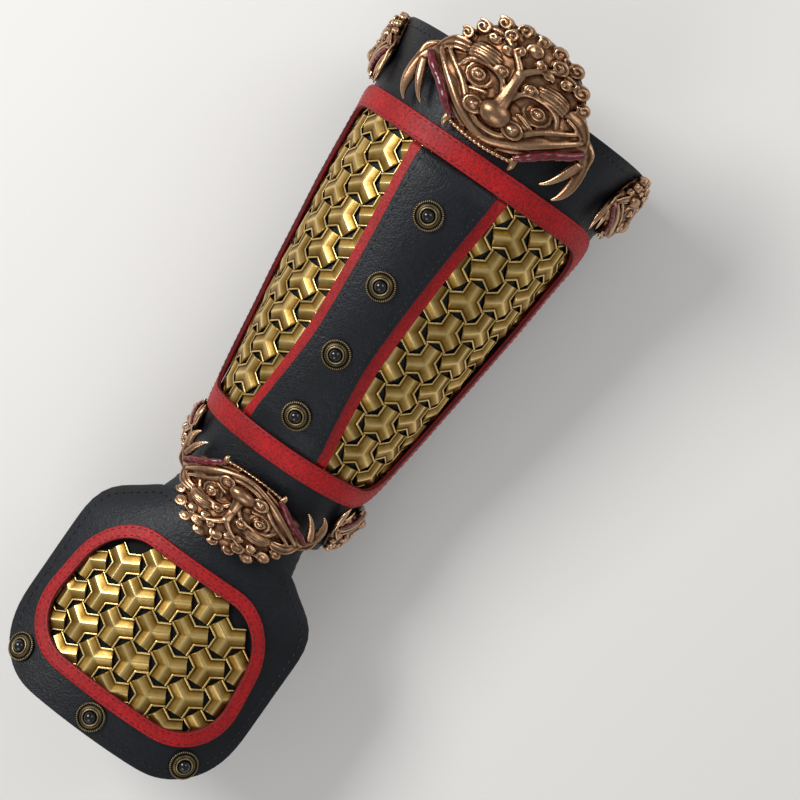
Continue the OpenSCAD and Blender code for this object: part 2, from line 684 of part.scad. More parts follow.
// Scales of the guard: the same lattice, turned so that one arm points at the fingers
guard_shift_d = 5;
guard_shift_w = 0;
function in_ring(d, w, g) = d > ring_start + ring_w - g && d < guard_len - ring_end - ring_w + g
    && abs(w) < ring_half(d, g);
guard_places = [for (j = [-4:4], i = [-1:7])
    [ring_start + guard_shift_d + (i + (abs(j) % 2) / 2) * scale_pitch, guard_shift_w + j * row_gap]];
module guard_scale(p) {
    one_scale(p[0], p[1], 0, guard_scale_h, function (d, w, h) on_guard(d, w, h));
}
module guard_scales() {
    g = ring_w - 1 - scale_inset;
    color([0.78, 0.6, 0.26]) {
        for (p = guard_places)
            if (all_in(p[0], p[1], function (d, w) in_ring(d, w, g)))
                guard_scale(p);
        intersection() {
            for (p = guard_places)
                if (in_ring(p[0], p[1], ring_w - 4) && !all_in(p[0], p[1], function (d, w) in_ring(d, w, g)))
                    guard_scale(p);
            ring_window(g);
        }
    }
}
module guard_conchos() {
    color([0.33, 0.29, 0.22])
        for (p = guard_stud_at)
            at_guard(p[0], p[1], guard_cover_h + guard_t + stud_play)
                concho();
}
module guard_beads() {
    color([0.03, 0.03, 0.03])
        for (p = guard_stud_at)
            at_guard(p[0], p[1], guard_cover_h + guard_t + stud_play)
                bead();
}

// The palm strap hangs in a loop from the two outer studs
palm_strap_t = 1.8;
palm_tab = 10;
// The palm strap sits this far back from its studs, clear of the guard's round corners
palm_back = 5;
function palm_path(h) = concat(
    [for (i = [0:3]) let (w = guard_stud_at[1][1] - palm_tab / 2 + palm_tab * i / 3,
        r = guard_curve, a = w / r * 180 / PI, up = (r - lay - h) * cos(a) - r)
        [(r - lay - h) * sin(a), up]],
    [for (i = [1:8]) let (
        a = (guard_stud_at[1][1] + palm_tab / 2) / guard_curve * 180 / PI,
        y0 = guard_curve * sin(a) + 1.5, z0 = guard_curve * cos(a) - guard_curve - 5, t = 90 * i / 8)
        [(y0 - h) * cos(t - 90 / 8), z0 - (palm_loop + z0 - h) * sin(t - 90 / 8)]]);
function palm_point(d, p) = [
    -x_mid - d * cos(guard_droop) - p[1] * sin(guard_droop),
    p[0],
    base_z + 2 * arm_b(0) + guard_base_h - d * sin(guard_droop) + p[1] * cos(guard_droop)];
function palm_rows(h) = let (half = palm_path(h), n = len(half),
    whole = concat(half, [for (i = [n - 1:-1:0]) [-half[i][0], half[i][1]]]))
    [for (e = [-0.5, 0.5]) [for (p = whole) palm_point(guard_stud_at[1][0] - palm_back + e * palm_strap_w, p)]];
module palm_strap() {
    color([0.1, 0.1, 0.11])
        difference() {
            sheet(palm_rows(0), palm_rows(palm_strap_t));
            for (p = [guard_stud_at[1], guard_stud_at[2]])
                at_guard(p[0], p[1], -4)
                    cylinder(d = post_d + 2 * hole_play, h = 4, $fn = 12);
        }
}
module guard_posts() {
    color([0.55, 0.5, 0.42])
        for (i = [0:2]) {
            p = guard_stud_at[i];
            under = i == 0 ? cap_play : palm_strap_t + 2 * lay + 0.2;
            at_guard(p[0], p[1], guard_cover_h + guard_t + stud_play - 0.02)
                post(guard_cover_h + guard_t + stud_play - 0.02 + under);
        }
}

// Back closure parts; w is measured across the back from its middle line
function on_back(s, w, h) = on_arm(s, back_deg(w, s), h);
strap_free_w = 44;
strap_hop = 1.2;
strap_path = [[-46, chape_h], [-38, chape_h], [-30, chape_h], [-22, chape_h], [-15, strap_h], [-8, strap_h],
    [0, strap_h], [7, strap_h], [11.5, strap_h + strap_hop * 0.6], [16, strap_h + strap_hop],
    [21, strap_h + strap_hop], [27, strap_h + strap_hop], [33, strap_h + strap_hop],
    [39, strap_h + strap_hop], [strap_free_w, strap_h + strap_hop]];
function strap_rows(s, up) = [for (e = [-0.5, 0, 0.5])
    [for (p = strap_path) on_back(s + e * strap_w, p[0], p[1] + up)]];
slot_w = prong_w + 0.9;
module strap(s) {
    color([0.1, 0.1, 0.11])
        difference() {
            sheet(strap_rows(s, 0), strap_rows(s, strap_t));
            translate([s - x_mid - slot_w / 2, -8.4, -1])
                cube([slot_w, 11.4, bar_z]);
            arm_holes([for (ds = [-rivet_half, rivet_half]) [s + ds, back_deg(strap_fixed_w, s)]]);
        }
}
chape_end_w = 27;
bar_bore = bar_d + 2 * bar_play;
module chape(s) {
    color([0.12, 0.12, 0.13])
        difference() {
            union() {
                sheet([for (e = [-0.5, 0, 0.5]) [for (w = [1.6, 6, 11, 16, 21.5, chape_end_w])
                        on_back(s + e * strap_w, w, chape_h)]],
                    [for (e = [-0.5, 0, 0.5]) [for (w = [1.6, 6, 11, 16, 21.5, chape_end_w])
                        on_back(s + e * strap_w, w, chape_h + 2 * chape_t)]]);
                translate([s - x_mid - strap_w / 2, 0, bar_z])
                    rotate([0, 90, 0])
                        cylinder(d = bar_bore + 2 * chape_t, h = strap_w, $fn = 48);
            }
            translate([s - x_mid - strap_w, 0, bar_z])
                rotate([0, 90, 0])
                    cylinder(d = bar_bore, h = 2 * strap_w, $fn = 48);
            translate([s - x_mid - slot_w / 2, -4, bar_z - 4])
                cube([slot_w, 7, 8]);
            arm_holes([for (ds = [-rivet_half, rivet_half]) [s + ds, back_deg(chape_fixed_w, s)]]);
        }
}

// A centre-bar buckle lies flat on z = 0; its bar is raised over the strap
side_play = 0.8;
boss_d = bar_d + 3;
notch_depth = 1.5;
module buckle_frame(s) {
    open_w = strap_w + 2 * side_play;
    color([0.72, 0.56, 0.3])
        translate([s - x_mid, 0, 0])
            difference() {
                union() {
                    translate([-open_w / 2 - rail_w, -buckle_l / 2, 0])
                        cube([open_w + 2 * rail_w, buckle_l, buckle_t]);
                    for (e = [-1, 1])
                        translate([e * (open_w + rail_w) / 2 - rail_w / 2, 0, 0]) {
                            translate([0, -boss_d / 2, 0])
                                cube([rail_w, boss_d, bar_z]);
                            translate([0, 0, bar_z])
                                rotate([0, 90, 0])
                                    cylinder(d = boss_d, h = rail_w, $fn = 40);
                        }
                    translate([-open_w / 2 - 0.1, 0, bar_z])
                        rotate([0, 90, 0])
                            cylinder(d = bar_d, h = open_w + 0.2, $fn = 40);
                }
                translate([-open_w / 2, rail_w - buckle_l / 2, -1])
                    cube([open_w, buckle_l - 2 * rail_w, buckle_t + 1.01]);
                translate([-slot_w / 2, -buckle_l / 2 - 1, -1])
                    cube([slot_w, rail_w + 1.5, 1 + notch_depth]);
            }
}

// The prong turns on the bar and reaches over the rail's notch
prong_low = 0.3;
prong_wall = 0.9;
module buckle_prong(s) {
    tip_y = -buckle_l / 2 + 0.6;
    color([0.72, 0.56, 0.3])
        translate([s - x_mid - prong_w / 2, 0, 0])
            difference() {
                union() {
                    translate([0, 0, bar_z])
                        rotate([0, 90, 0])
                            cylinder(d = bar_bore + 2 * prong_wall, h = prong_w, $fn = 40);
                    rotate([90, 0, 90])
                        linear_extrude(prong_w)
                            polygon([[-1.1, bar_z - 1.9], [-2.1, bar_z - 0.6], [-7.6, 1.45], [tip_y, 1.2],
                                [tip_y, prong_low], [-7, prong_low]]);
                }
                translate([-1, 0, bar_z])
                    rotate([0, 90, 0])
                        cylinder(d = bar_bore, h = prong_w + 2, $fn = 40);
            }
}

// A keeper loop lies on the cover and holds the strap's free end
keeper_w0 = 31;
keeper_w1 = 38;
function keeper_loop(s, w, g) =
    let (half = strap_w / 2 + 0.6 + g, lo = chape_h + keeper_t - g,
        hi = strap_h + strap_hop + strap_t + lay + g)
    concat([for (e = [-1, -0.33, 0.33, 1]) on_back(s + e * half, w, lo)],
        [for (e = [1, 0.33, -0.33, -1]) on_back(s + e * half, w, hi)]);
module strap_keepers() {
    color([0.1, 0.1, 0.11])
        for (s = closure_at)
            sheet([for (w = [keeper_w0, (keeper_w0 + keeper_w1) / 2, keeper_w1]) keeper_loop(s, w, keeper_t)],
                [for (w = [keeper_w0, (keeper_w0 + keeper_w1) / 2, keeper_w1]) keeper_loop(s, w, 0)],
                closed = true);
}
module strap_rivets() {
    color([0.5, 0.36, 0.22])
        for (s = closure_at, ds = [-rivet_half, rivet_half]) {
            rivet([s + ds, back_deg(strap_fixed_w, s)], chape_h + strap_t);
            rivet([s + ds, back_deg(chape_fixed_w, s)], chape_h + 2 * chape_t);
        }
}

module elbow_strap() {
    strap(closure_at[2]);
}
module middle_strap() {
    strap(closure_at[1]);
}
module wrist_strap() {
    strap(closure_at[0]);
}
module elbow_chape() {
    chape(closure_at[2]);
}
module middle_chape() {
    chape(closure_at[1]);
}
module wrist_chape() {
    chape(closure_at[0]);
}
module elbow_buckle_frame() {
    buckle_frame(closure_at[2]);
}
module middle_buckle_frame() {
    buckle_frame(closure_at[1]);
}
module wrist_buckle_frame() {
    buckle_frame(closure_at[0]);
}
module elbow_buckle_prong() {
    buckle_prong(closure_at[2]);
}
module middle_buckle_prong() {
    buckle_prong(closure_at[1]);
}
module wrist_buckle_prong() {
    buckle_prong(closure_at[0]);
}

forearm_shell();
forearm_lining();
outer_cover();
red_frame();
center_strip();
strip_red_edging();
scale_panel_left();
scale_panel_right();
strip_conchos();
strip_beads();
strip_posts();
elbow_head_center();
elbow_head_left();
elbow_head_right();
wrist_head_center();
wrist_head_left();
wrist_head_right();
elbow_head_rivets();
wrist_head_rivets();
wrist_gusset();
guard_leather();
guard_lining();
guard_red_ring();
guard_scales();
guard_conchos();
guard_beads();
guard_posts();
palm_strap();
elbow_strap();
middle_strap();
wrist_strap();
elbow_chape();
middle_chape();
wrist_chape();
elbow_buckle_frame();
middle_buckle_frame();
wrist_buckle_frame();
elbow_buckle_prong();
middle_buckle_prong();
wrist_buckle_prong();
strap_keepers();
strap_rivets();
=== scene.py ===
import math
import bmesh
import bpy
from mathutils import Matrix, Vector, noise


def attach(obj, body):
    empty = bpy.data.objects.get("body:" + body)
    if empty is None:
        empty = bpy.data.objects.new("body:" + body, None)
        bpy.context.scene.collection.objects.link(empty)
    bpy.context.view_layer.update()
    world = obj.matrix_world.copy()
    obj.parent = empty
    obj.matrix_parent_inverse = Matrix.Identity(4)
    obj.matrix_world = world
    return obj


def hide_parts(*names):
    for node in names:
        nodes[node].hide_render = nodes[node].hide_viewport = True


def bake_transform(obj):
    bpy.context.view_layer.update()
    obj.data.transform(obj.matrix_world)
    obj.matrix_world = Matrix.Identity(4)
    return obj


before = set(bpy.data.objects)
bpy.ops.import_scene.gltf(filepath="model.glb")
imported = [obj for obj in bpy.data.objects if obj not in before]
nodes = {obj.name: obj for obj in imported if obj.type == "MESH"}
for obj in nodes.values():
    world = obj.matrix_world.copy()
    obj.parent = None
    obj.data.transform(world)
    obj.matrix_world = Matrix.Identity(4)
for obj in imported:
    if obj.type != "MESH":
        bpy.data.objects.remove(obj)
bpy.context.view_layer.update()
scene = bpy.context.scene


def add_object(name, data):
    made = bpy.data.objects.new(name, data)
    scene.collection.objects.link(made)
    return made


def as_mesh(name, bm):
    """The bmesh written to a new mesh, and freed."""
    mesh = bpy.data.meshes.new(name)
    bm.to_mesh(mesh)
    bm.free()
    return mesh


def linear(hex_colour):
    """Linear RGBA of an sRGB hex colour."""
    parts = [int(hex_colour[i : i + 2], 16) / 255 for i in (0, 2, 4)]
    return [p / 12.92 if p <= 0.04045 else ((p + 0.055) / 1.055) ** 2.4 for p in parts] + [1.0]


def add_node(tree, kind, settings=None, links=None):
    """Adds a node; settings go to its options or sockets, links come from other nodes' sockets."""
    made = tree.nodes.new(kind)
    for key, value in (settings or {}).items():
        if isinstance(key, int) or key in made.inputs:
            made.inputs[key].default_value = value
        else:
            setattr(made, key, value)
    for key, source in (links or {}).items():
        tree.links.new(source, made.inputs[key])
    return made


def new_material(name):
    """A material with only its output and Principled shader."""
    material = bpy.data.materials.new(name)
    material.use_nodes = True
    tree = material.node_tree
    tree.nodes.clear()
    shader = tree.nodes.new("ShaderNodeBsdfPrincipled")
    add_node(tree, "ShaderNodeOutputMaterial", links={"Surface": shader.outputs[0]})
    return material, tree, shader


def ramp(tree, source, stops):
    """A colour ramp over source; stops are (place, hex colour) pairs."""
    made = add_node(tree, "ShaderNodeValToRGB", links={"Fac": source})
    points = made.color_ramp.elements
    while len(points) < len(stops):
        points.new(0.5)
    for point, (place, colour) in zip(points, stops):
        point.position = place
        point.color = linear(colour)
    return made.outputs["Color"]


def texture(tree, kind, scale, **settings):
    """A texture in the piece's own coordinates, so that it moves with its body."""
    place = add_node(tree, "ShaderNodeTexCoord").outputs["Object"]
    return add_node(tree, kind, {"Scale": scale, **settings}, {"Vector": place})


def cloud(tree, scale, **settings):
    return texture(tree, "ShaderNodeTexNoise", scale, **settings).outputs["Fac"]


def wear_and_shade_share(tree):
    return add_node(tree, "ShaderNodeAttribute", {"attribute_name": "wear_and_shade"}).outputs["Fac"]


def stretch(tree, source, factor, offset):
    """The source times a factor, plus an offset."""
    settings = {"operation": "MULTIPLY_ADD", 1: factor, 2: offset}
    return add_node(tree, "ShaderNodeMath", settings, {0: source}).outputs[0]


def combine(tree, operation, first, second):
    """Two values added or multiplied, and kept from 0 to 1."""
    settings = {"operation": operation, "use_clamp": True}
    return add_node(tree, "ShaderNodeMath", settings, {0: first, 1: second}).outputs[0]


def to_range(tree, source, low, high, start=0.0, end=1.0):
    """The source's values from start to end, as low to high."""
    settings = {"From Min": start, "From Max": end, "To Min": low, "To Max": high}
    return add_node(tree, "ShaderNodeMapRange", settings, {"Value": source}).outputs[0]


def bumps(tree, height, strength, distance, invert=False, **below):
    """A bump over the height; below is the Normal that it lies on, if any."""
    settings = {"Strength": strength, "Distance": distance, "invert": invert}
    return add_node(tree, "ShaderNodeBump", settings, {"Height": height, **below}).outputs[0]


def wire(tree, shader, sources, **values):
    """Links sources to the shader's sockets and sets its other values."""
    for socket, source in sources.items():
        tree.links.new(source, shader.inputs[socket])
    for socket, value in values.items():
        shader.inputs[socket.replace("_", " ")].default_value = value


# The bracer lies on its back buckles on a pale table, and is seen from almost straight above with
# the hand guard at the lower left. A broad window-like lamp stands at the upper left of the view,
# with two weaker ones across the table, as for a shop's product photograph.
scene.view_settings.view_transform = "Standard"
camera_data = bpy.data.cameras.new("photo_view")
camera_data.lens = 86.37
camera_data.sensor_width = 36
camera = add_object("photo_view", camera_data)
seen_from = Matrix.Translation((0.11485, -0.10706, 1.00063))
for angle, axis in ((-0.95789, "Z"), (-0.03728, "X"), (0.12196, "Y")):
    seen_from = seen_from @ Matrix.Rotation(angle, 4, axis)
camera.matrix_world = seen_from
scene.camera = camera

table_paint, tree, shader = new_material("matt_table_paint")
wire(tree, shader, {}, Base_Color=linear("F1EFEB"), Roughness=0.9, Specular_IOR_Level=0.1)
table_half, table_drop = 4.0, 0.0004
bm = bmesh.new()
bmesh.ops.create_grid(bm, x_segments=1, y_segments=1, size=table_half)
bmesh.ops.translate(bm, verts=bm.verts, vec=(0, 0, -table_drop))
table_top = add_object("table_top", as_mesh("table_top", bm))
table_top.data.materials.append(table_paint)

world = bpy.data.worlds.new("studio")
world.use_nodes = True
background = world.node_tree.nodes["Background"]
background.inputs["Color"].default_value = linear("F4F6FA")
background.inputs["Strength"].default_value = 0.34
scene.world = world
lamp_aim = Vector((0, 0, 0.06))
for name, place, side, watts in (
    ("window_lamp", (0.15, 0.95, 1.05), 0.55, 12.0),
    ("far_lamp", (0.9, -0.5, 0.9), 0.7, 3.0),
    ("hand_lamp", (-1.0, -0.2, 0.9), 0.7, 3.0),
):
    lamp_data = bpy.data.lights.new(name, "AREA")
    lamp_data.size = side
    lamp_data.energy = watts
    turned = (lamp_aim - Vector(place)).to_track_quat("-Z", "Y").to_matrix().to_4x4()
    add_object(name, lamp_data).matrix_world = Matrix.Translation(place) @ turned

# The forearm shell is one piece of stiff 2.2 mm cowhide, wet-formed into a tapered tube that is
# open along the back. Every other layer lies on it, so its sizes place them all, in millimetres.
forearm_len, elbow_w, elbow_d, wrist_w, wrist_d, muscle_swell = 244, 130, 108, 76, 72, 2.5
back_gap, shell_t, lining_t, lay = 26, 2.2, 1.0, 0.3
base_z = 10.5
guard_len, guard_droop = 133, math.radians(-5)
x_mid = (267.5 - guard_len * math.cos(guard_droop)) / 2


def mix(a, b, f):
    return a + (b - a) * f


def ease(f):
    f = min(max(f, 0), 1)
    return f * f * (3 - 2 * f)


def arm_half(s):
    """Half width and half depth of the shell at s along it."""
    swell = muscle_swell * math.sin(math.pi * min(max(s / forearm_len, 0), 1))
    f = s / forearm_len
    return mix(wrist_w, elbow_w, f) / 2 + swell, mix(wrist_d, elbow_d, f) / 2 + swell


def arm_r(s):
    return sum(arm_half(s)) / 2


mid_r = arm_r(forearm_len / 2)


def edge_deg(s):
    return 180 - math.degrees(math.asin(back_gap / 2 / arm_half(s)[0]))


def wave(u, v, w, size=34.0):
    """Slow unevenness of hand-formed leather, from -1 to 1."""
    return noise.noise(Vector((u / size, v / size, w / size)))


def on_arm(s, deg, h):
    """The place of a point s along the arm, deg round from the top, h over the shell, in metres."""
    a, b = arm_half(s)
    t = math.radians(deg)
    h = h + 0.45 * wave(s, (a + b) / 2 * t, 3.0)
    return Vector((s - x_mid, (a + h) * math.sin(t), base_z + b + (b + h) * math.cos(t))) / 1000


def along_arm(s, w, h):
    """As on_arm, with w in millimetres round the arm."""
    return on_arm(s, math.degrees(w / arm_r(s)), h)


def edge_profile(x0, x1, h0, h1, r, n):
    """The cut section of a leather piece with rubbed round edges: (x, h, rubbed) all the way round."""
    turns = [math.radians(a) for a in (22.5, 45, 67.5, 90)]
    low = [(x1 - r - (x1 - x0 - 2 * r) * i / n, h0, 0.0) for i in range(n + 1)]
    near = [(x0 + r - r * math.sin(a), h0 + r - r * math.cos(a), 0.6) for a in turns]
    near += [(x0 + r - r * math.cos(a), h1 - r + r * math.sin(a), 1.0 - i / 4) for i, a in enumerate(turns)]
    top = [(x0 + r + (x1 - x0 - 2 * r) * i / n, h1, 0.0) for i in range(1, n + 1)]
    far = [(x1 - r + r * math.sin(a), h1 - r + r * math.cos(a), 0.25 + i / 4) for i, a in enumerate(turns)]
    far += [(x1 - r + r * math.cos(a), h0 + r - r * math.sin(a), 0.6) for a in turns[:-1]]
    return low + near + top + far


def loft(rings, closed):
    """Extrudes a ring of points from one list of (place, rubbed) to the next, and closes or caps it."""
    bm = bmesh.new()
    turn = bm.verts.layers.int.new("turn")
    wear_and_shade = bm.verts.layers.float.new("wear_and_shade")
    made = bmesh.ops.create_circle(bm, segments=len(rings[0]), radius=1)["verts"]
    made.sort(key=lambda v: math.atan2(v.co.y, v.co.x) % (2 * math.pi))
    for i, v in enumerate(made):
        v[turn] = i
        v.co, v[wear_and_shade] = rings[0][i]
    edges = first = bm.edges[:]
    for ring in rings[1:] + (rings[:1] if closed else []):
        grown = bmesh.ops.extrude_edge_only(bm, edges=edges)["geom"]
        new = {g for g in grown if isinstance(g, bmesh.types.BMVert)}
        edges = [g for g in grown if isinstance(g, bmesh.types.BMEdge)]
        edges = [e for e in edges if e.verts[0] in new and e.verts[1] in new]
        for v in new:
            v.co, v[wear_and_shade] = ring[v[turn]]
    if closed:
        bmesh.ops.remove_doubles(bm, verts=bm.verts, dist=1e-8)
    else:
        bmesh.ops.contextual_create(bm, geom=first)
        bmesh.ops.contextual_create(bm, geom=edges)
    bmesh.ops.recalc_face_normals(bm, faces=bm.faces)
    return bm


def joined(parts):
    """One bmesh of several, in their order."""
    whole = bmesh.new()
    for bm in parts:
        part = as_mesh("part", bm)
        whole.from_mesh(part)
        bpy.data.meshes.remove(part)
    return whole


def cut_below(bm, height):
    """Cuts away what is below the height, and closes the cut with one face."""
    whole = bm.verts[:] + bm.edges[:] + bm.faces[:]
    bmesh.ops.bisect_plane(bm, geom=whole, plane_co=(0, 0, height), plane_no=(0, 0, -1), clear_outer=True)
    bmesh.ops.contextual_create(bm, geom=[e for e in bm.edges if e.is_boundary])


def smooth_path(points, steps):
    """More points along a smooth curve through the given ones."""
    spots = [Vector(p) for p in points]
    path = []
    for i in range(len(spots) - 1):
        a, b, c, d = (spots[min(max(k, 0), len(spots) - 1)] for k in (i - 1, i, i + 1, i + 2))
        for k in range(steps):
            f = k / steps
            bend = 2 * b + (c - a) * f + (2 * a - 5 * b + 4 * c - d) * f * f
            path.append(0.5 * (bend + (3 * b - a - 3 * c + d) * f**3))
    return path + spots[-1:]


def finish_piece(name, bm, finish, body, *stands_for):
    """Makes the bmesh an object that rides on a body, has its finish and stands for CAD nodes."""
    material, slot = finish
    mesh = as_mesh(name, bm)
    mesh.polygons.foreach_set("use_smooth", [True] * len(mesh.polygons))
    mesh.materials.append(material)
    piece = add_object(name, mesh)
    if body:
        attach(piece, body)
    if stands_for:
        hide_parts(*stands_for)
    return piece


def arm_tube(h0, h1, rim=0.9):
    """A layer of leather over the whole shell, from h0 to h1, with rounded rims."""
    count = math.ceil(forearm_len / 4)
    ends = [(0, 0.0), (0.25, 0.66), (0.6, 0.92)]
    stations = [(rim * f, k) for f, k in ends]
    stations += [(rim + (forearm_len - 2 * rim) * i / count, 1.0) for i in range(count + 1)]
    stations += [(forearm_len - rim * f, k) for f, k in reversed(ends)]
    rings = []
    for s, k in stations:
        reach = math.radians(edge_deg(s)) * arm_r(s)
        mid, half = (h0 + h1) / 2, (h1 - h0) / 2 * (0.35 + 0.65 * k)
        section = edge_profile(-reach, reach, mid - half, mid + half, half * 0.7, 132)
        rings.append([(along_arm(s, w, h), max(r, 1 - k)) for w, h, r in section])
    return loft(rings, False)


def leather(name, slot, dark, light, edge, gloss, pebble_mm, depth, crease=0.5, crease_mm=7.0):
    """Blotched, pebbled and creased leather, whose cut edges are rubbed to the edge's colour."""
    material, tree, shader = new_material(name)
    blotch = cloud(tree, 45.0, Detail=5.0, Roughness=0.62)
    grain = texture(tree, "ShaderNodeTexVoronoi", 1000 / pebble_mm, Randomness=1.0).outputs["Distance"]
    fine = cloud(tree, 1000 / pebble_mm * 0.7, Detail=3.0)
    folds = cloud(tree, 1000 / crease_mm, Detail=2.0, Distortion=1.2)
    body_colour = ramp(tree, blotch, [(0.32, dark), (0.68, light)])
    speck = ramp(tree, grain, [(0.05, "FFFFFF"), (0.75, "A8A8A8")])
    blend = {"data_type": "RGBA", "blend_type": "MULTIPLY", 0: 0.8}
    coloured = add_node(tree, "ShaderNodeMix", blend, {6: body_colour, 7: speck}).outputs[2]
    rub = wear_and_shade_share(tree)
    worn_line = combine(tree, "ADD", rub, stretch(tree, blotch, 1.0, -0.42))
    edged = combine(tree, "MULTIPLY", rub, worn_line)
    to_edge = {"data_type": "RGBA", 7: linear(edge)}
    finished = add_node(tree, "ShaderNodeMix", to_edge, {0: edged, 6: coloured}).outputs[2]
    sheen = to_range(tree, fine, gloss, gloss + 0.16, 0.3, 0.7)
    pebbles = bumps(tree, grain, depth, 0.00022, invert=True)
    creased = bumps(tree, folds, crease, 0.0006, Normal=pebbles)
    sources = {"Base Color": finished, "Roughness": sheen, "Normal": creased}
    wire(tree, shader, sources, Specular_IOR_Level=0.36)
    return material, slot


# Black cowhide with its natural grain left on, wax finished: pebbles under a millimetre across, a
# broken soft gloss, and a rubbed, slightly paler line where a cut edge has been handled. A finish
# is a material with its slot.
black_leather = leather("waxed_black_cowhide", "black_leather", "07090D", "111722", "222831", 0.4, 0.9, 0.6)
suede = leather("brown_suede", "suede_lining", "4A3222", "644632", "3A281C", 0.85, 0.5, 0.9, crease=0.3)
finish_piece("shell_leather", arm_tube(-shell_t, 0), black_leather, "forearm", "forearm_shell")

# The lining is thin brown suede, glued flesh side out inside the shell so that it grips a sleeve.
lining_top = -shell_t - lay
lining = arm_tube(lining_top - lining_t, lining_top, rim=0.4)
finish_piece("suede_forearm_lining", lining, suede, "forearm", "forearm_lining")

# The outer cover is a second skin of thinner black cowhide over the shell. A window with round
# corners is cut out of its top for the scales, and the red frame hides the window's cut edge.
cover_h, cover_t, cover_tuck = lay, 2.6, 1.5
wrist_collar, elbow_collar, frame_w, frame_t, frame_side, frame_corner = 30, 37, 11.5, 2.4, 82, 17
window_s0, window_s1 = wrist_collar + frame_w, forearm_len - elbow_collar - frame_w
scale_h, scale_ridge_t = 0.55, 2.2
frame_h = max(cover_h + cover_t, scale_h + scale_ridge_t) + lay


def rounded_loop(x0, x1, y0, y1, rx, ry, nx, ny, nc):
    """Points round a rounded rectangle, nx and ny on its sides and nc on each corner."""
    quarter = [math.pi / 2 * i / nc for i in range(nc)]
    loop = []
    for xa, xb, ya, yb, p, q in ((x0, x1, y0, y1, rx, ry), (x1, x0, y1, y0, -rx, -ry)):
        loop += [(mix(xa + p, xb - p, i / nx), ya) for i in range(nx)]
        loop += [(xb - p + p * math.sin(a), ya + q - q * math.cos(a)) for a in quarter]
        loop += [(xb, mix(ya + q, yb - q, i / ny)) for i in range(ny)]
        loop += [(xb - p + p * math.cos(a), yb - q + q * math.sin(a)) for a in quarter]
    return loop


def arm_loop(s0, s1, side, rx, ry):
    """A rounded loop round the top of the arm, always of the same number of points."""
    return rounded_loop(s0, s1, -side, side, rx, ry, 60, 72, 9)


def cover_loop(inset):
    """The cover's outline drawn in at its two ends, as (s, share of the way to the back's gap)."""
    return arm_loop(inset, forearm_len - inset, 1, 5, 0.04)


def frame_loop(g):
    """The frame's inner edge grown by g, as (s, deg)."""
    per_mm = math.degrees(1 / mid_r)
    r = max(frame_corner + g, 2)
    return arm_loop(window_s0 - g, window_s1 + g, frame_side + g * per_mm, r, r * per_mm)


def band(name, section, loop, put, finish, body, node):
    """A closed ring of leather; loop gives its (x, w) points for each step across the section."""
    rings = [[(put(x, w, h), rub) for x, w in loop(g)] for g, h, rub in section]
    finish_piece(name, loft(rings, True), finish, body, node)


def between(one, other):
    """The loop that lies f of the way from one to the other."""
    return lambda f: [(mix(a[0], b[0], f), mix(a[1], b[1], f)) for a, b in zip(one, other)]


def rubbed_outside(section):
    """A section across from 0 to 1, left rubbed at its outer edge alone."""
    return [(f, h, rub if f < 0.1 else 0) for f, h, rub in section]


outline = [(s, share * edge_deg(s)) for s, share in cover_loop(0)]
section = rubbed_outside(edge_profile(0, 1, cover_h, cover_h + cover_t, 0.012, 25))
window = frame_loop(frame_w - cover_tuck)
band("outer_cover_skin", section, between(outline, window), on_arm, black_leather, "forearm", "outer_cover")

# The red frame is one ring of dyed red leather with round corners, glued and edge-stitched over the
# cover. Its two ends are the bands at wrist and elbow, and its cut edges are burnished dark.
reds = ("B00C12", "D2141A", "2C0608")
red_leather = leather("dyed_red_cowhide", "red_leather", *reds, 0.46, 1.1, 0.3, 0.45, 9.0)
section = edge_profile(0, frame_w, frame_h, frame_h + frame_t, 0.7, 5)
band("red_frame_ring", section, frame_loop, on_arm, red_leather, "forearm", "red_frame")

# The centre strip is a waisted strap of black leather down the top of the arm. Its ends are skived
# thin and tucked against the red frame; red leather is glued under it and shows along both sides.
strip_elbow_w, strip_waist_w, strip_wrist_w, strip_waist_at = 37, 25, 35, 0.36
strip_t, strip_end_t, skive_len, edging_w, edging_t = 3.0, 1.1, 9, 5.5, 1.0
edging_h = scale_h + scale_ridge_t + lay
strip_h = edging_h + edging_t + lay


def strip_half(s):
    f = min(max((s - window_s0) / (window_s1 - window_s0), 0), 1)
    if f < strip_waist_at:
        return mix(strip_waist_w, strip_wrist_w, (1 - f / strip_waist_at) ** 1.5) / 2
    return mix(strip_waist_w, strip_elbow_w, ((f - strip_waist_at) / (1 - strip_waist_at)) ** 1.5) / 2


def strip_top(s):
    return strip_h + mix(strip_end_t, strip_t, ease(min(s - window_s0, window_s1 - s) / skive_len))


def strip_piece(grow, h0, top, r, crown):
    """A long strip on the arm whose half width is the strip's grown by grow."""
    rings = []
    for i in range(65):
        s = mix(window_s0 + lay, window_s1 - lay, i / 64)
        half = strip_half(s) + grow
        ring = []
        for w, h, rub in edge_profile(-half, half, h0, top(s), r, 16):
            bow = crown * (1 - (w / half) ** 2) if h > h0 + r else 0
            ring.append((along_arm(s, w, h + bow * min(1, (top(s) - h0) / strip_t)), rub))
        rings.append(ring)
    return loft(rings, False)


waisted = strip_piece(0, strip_h, strip_top, 0.5, crown=0.5)
finish_piece("waisted_strip", waisted, black_leather, "forearm", "center_strip")
edging = strip_piece(edging_w, edging_h, lambda s: edging_h + edging_t, 0.3, crown=0)
finish_piece("strip_edging", edging, red_leather, "forearm", "strip_red_edging")


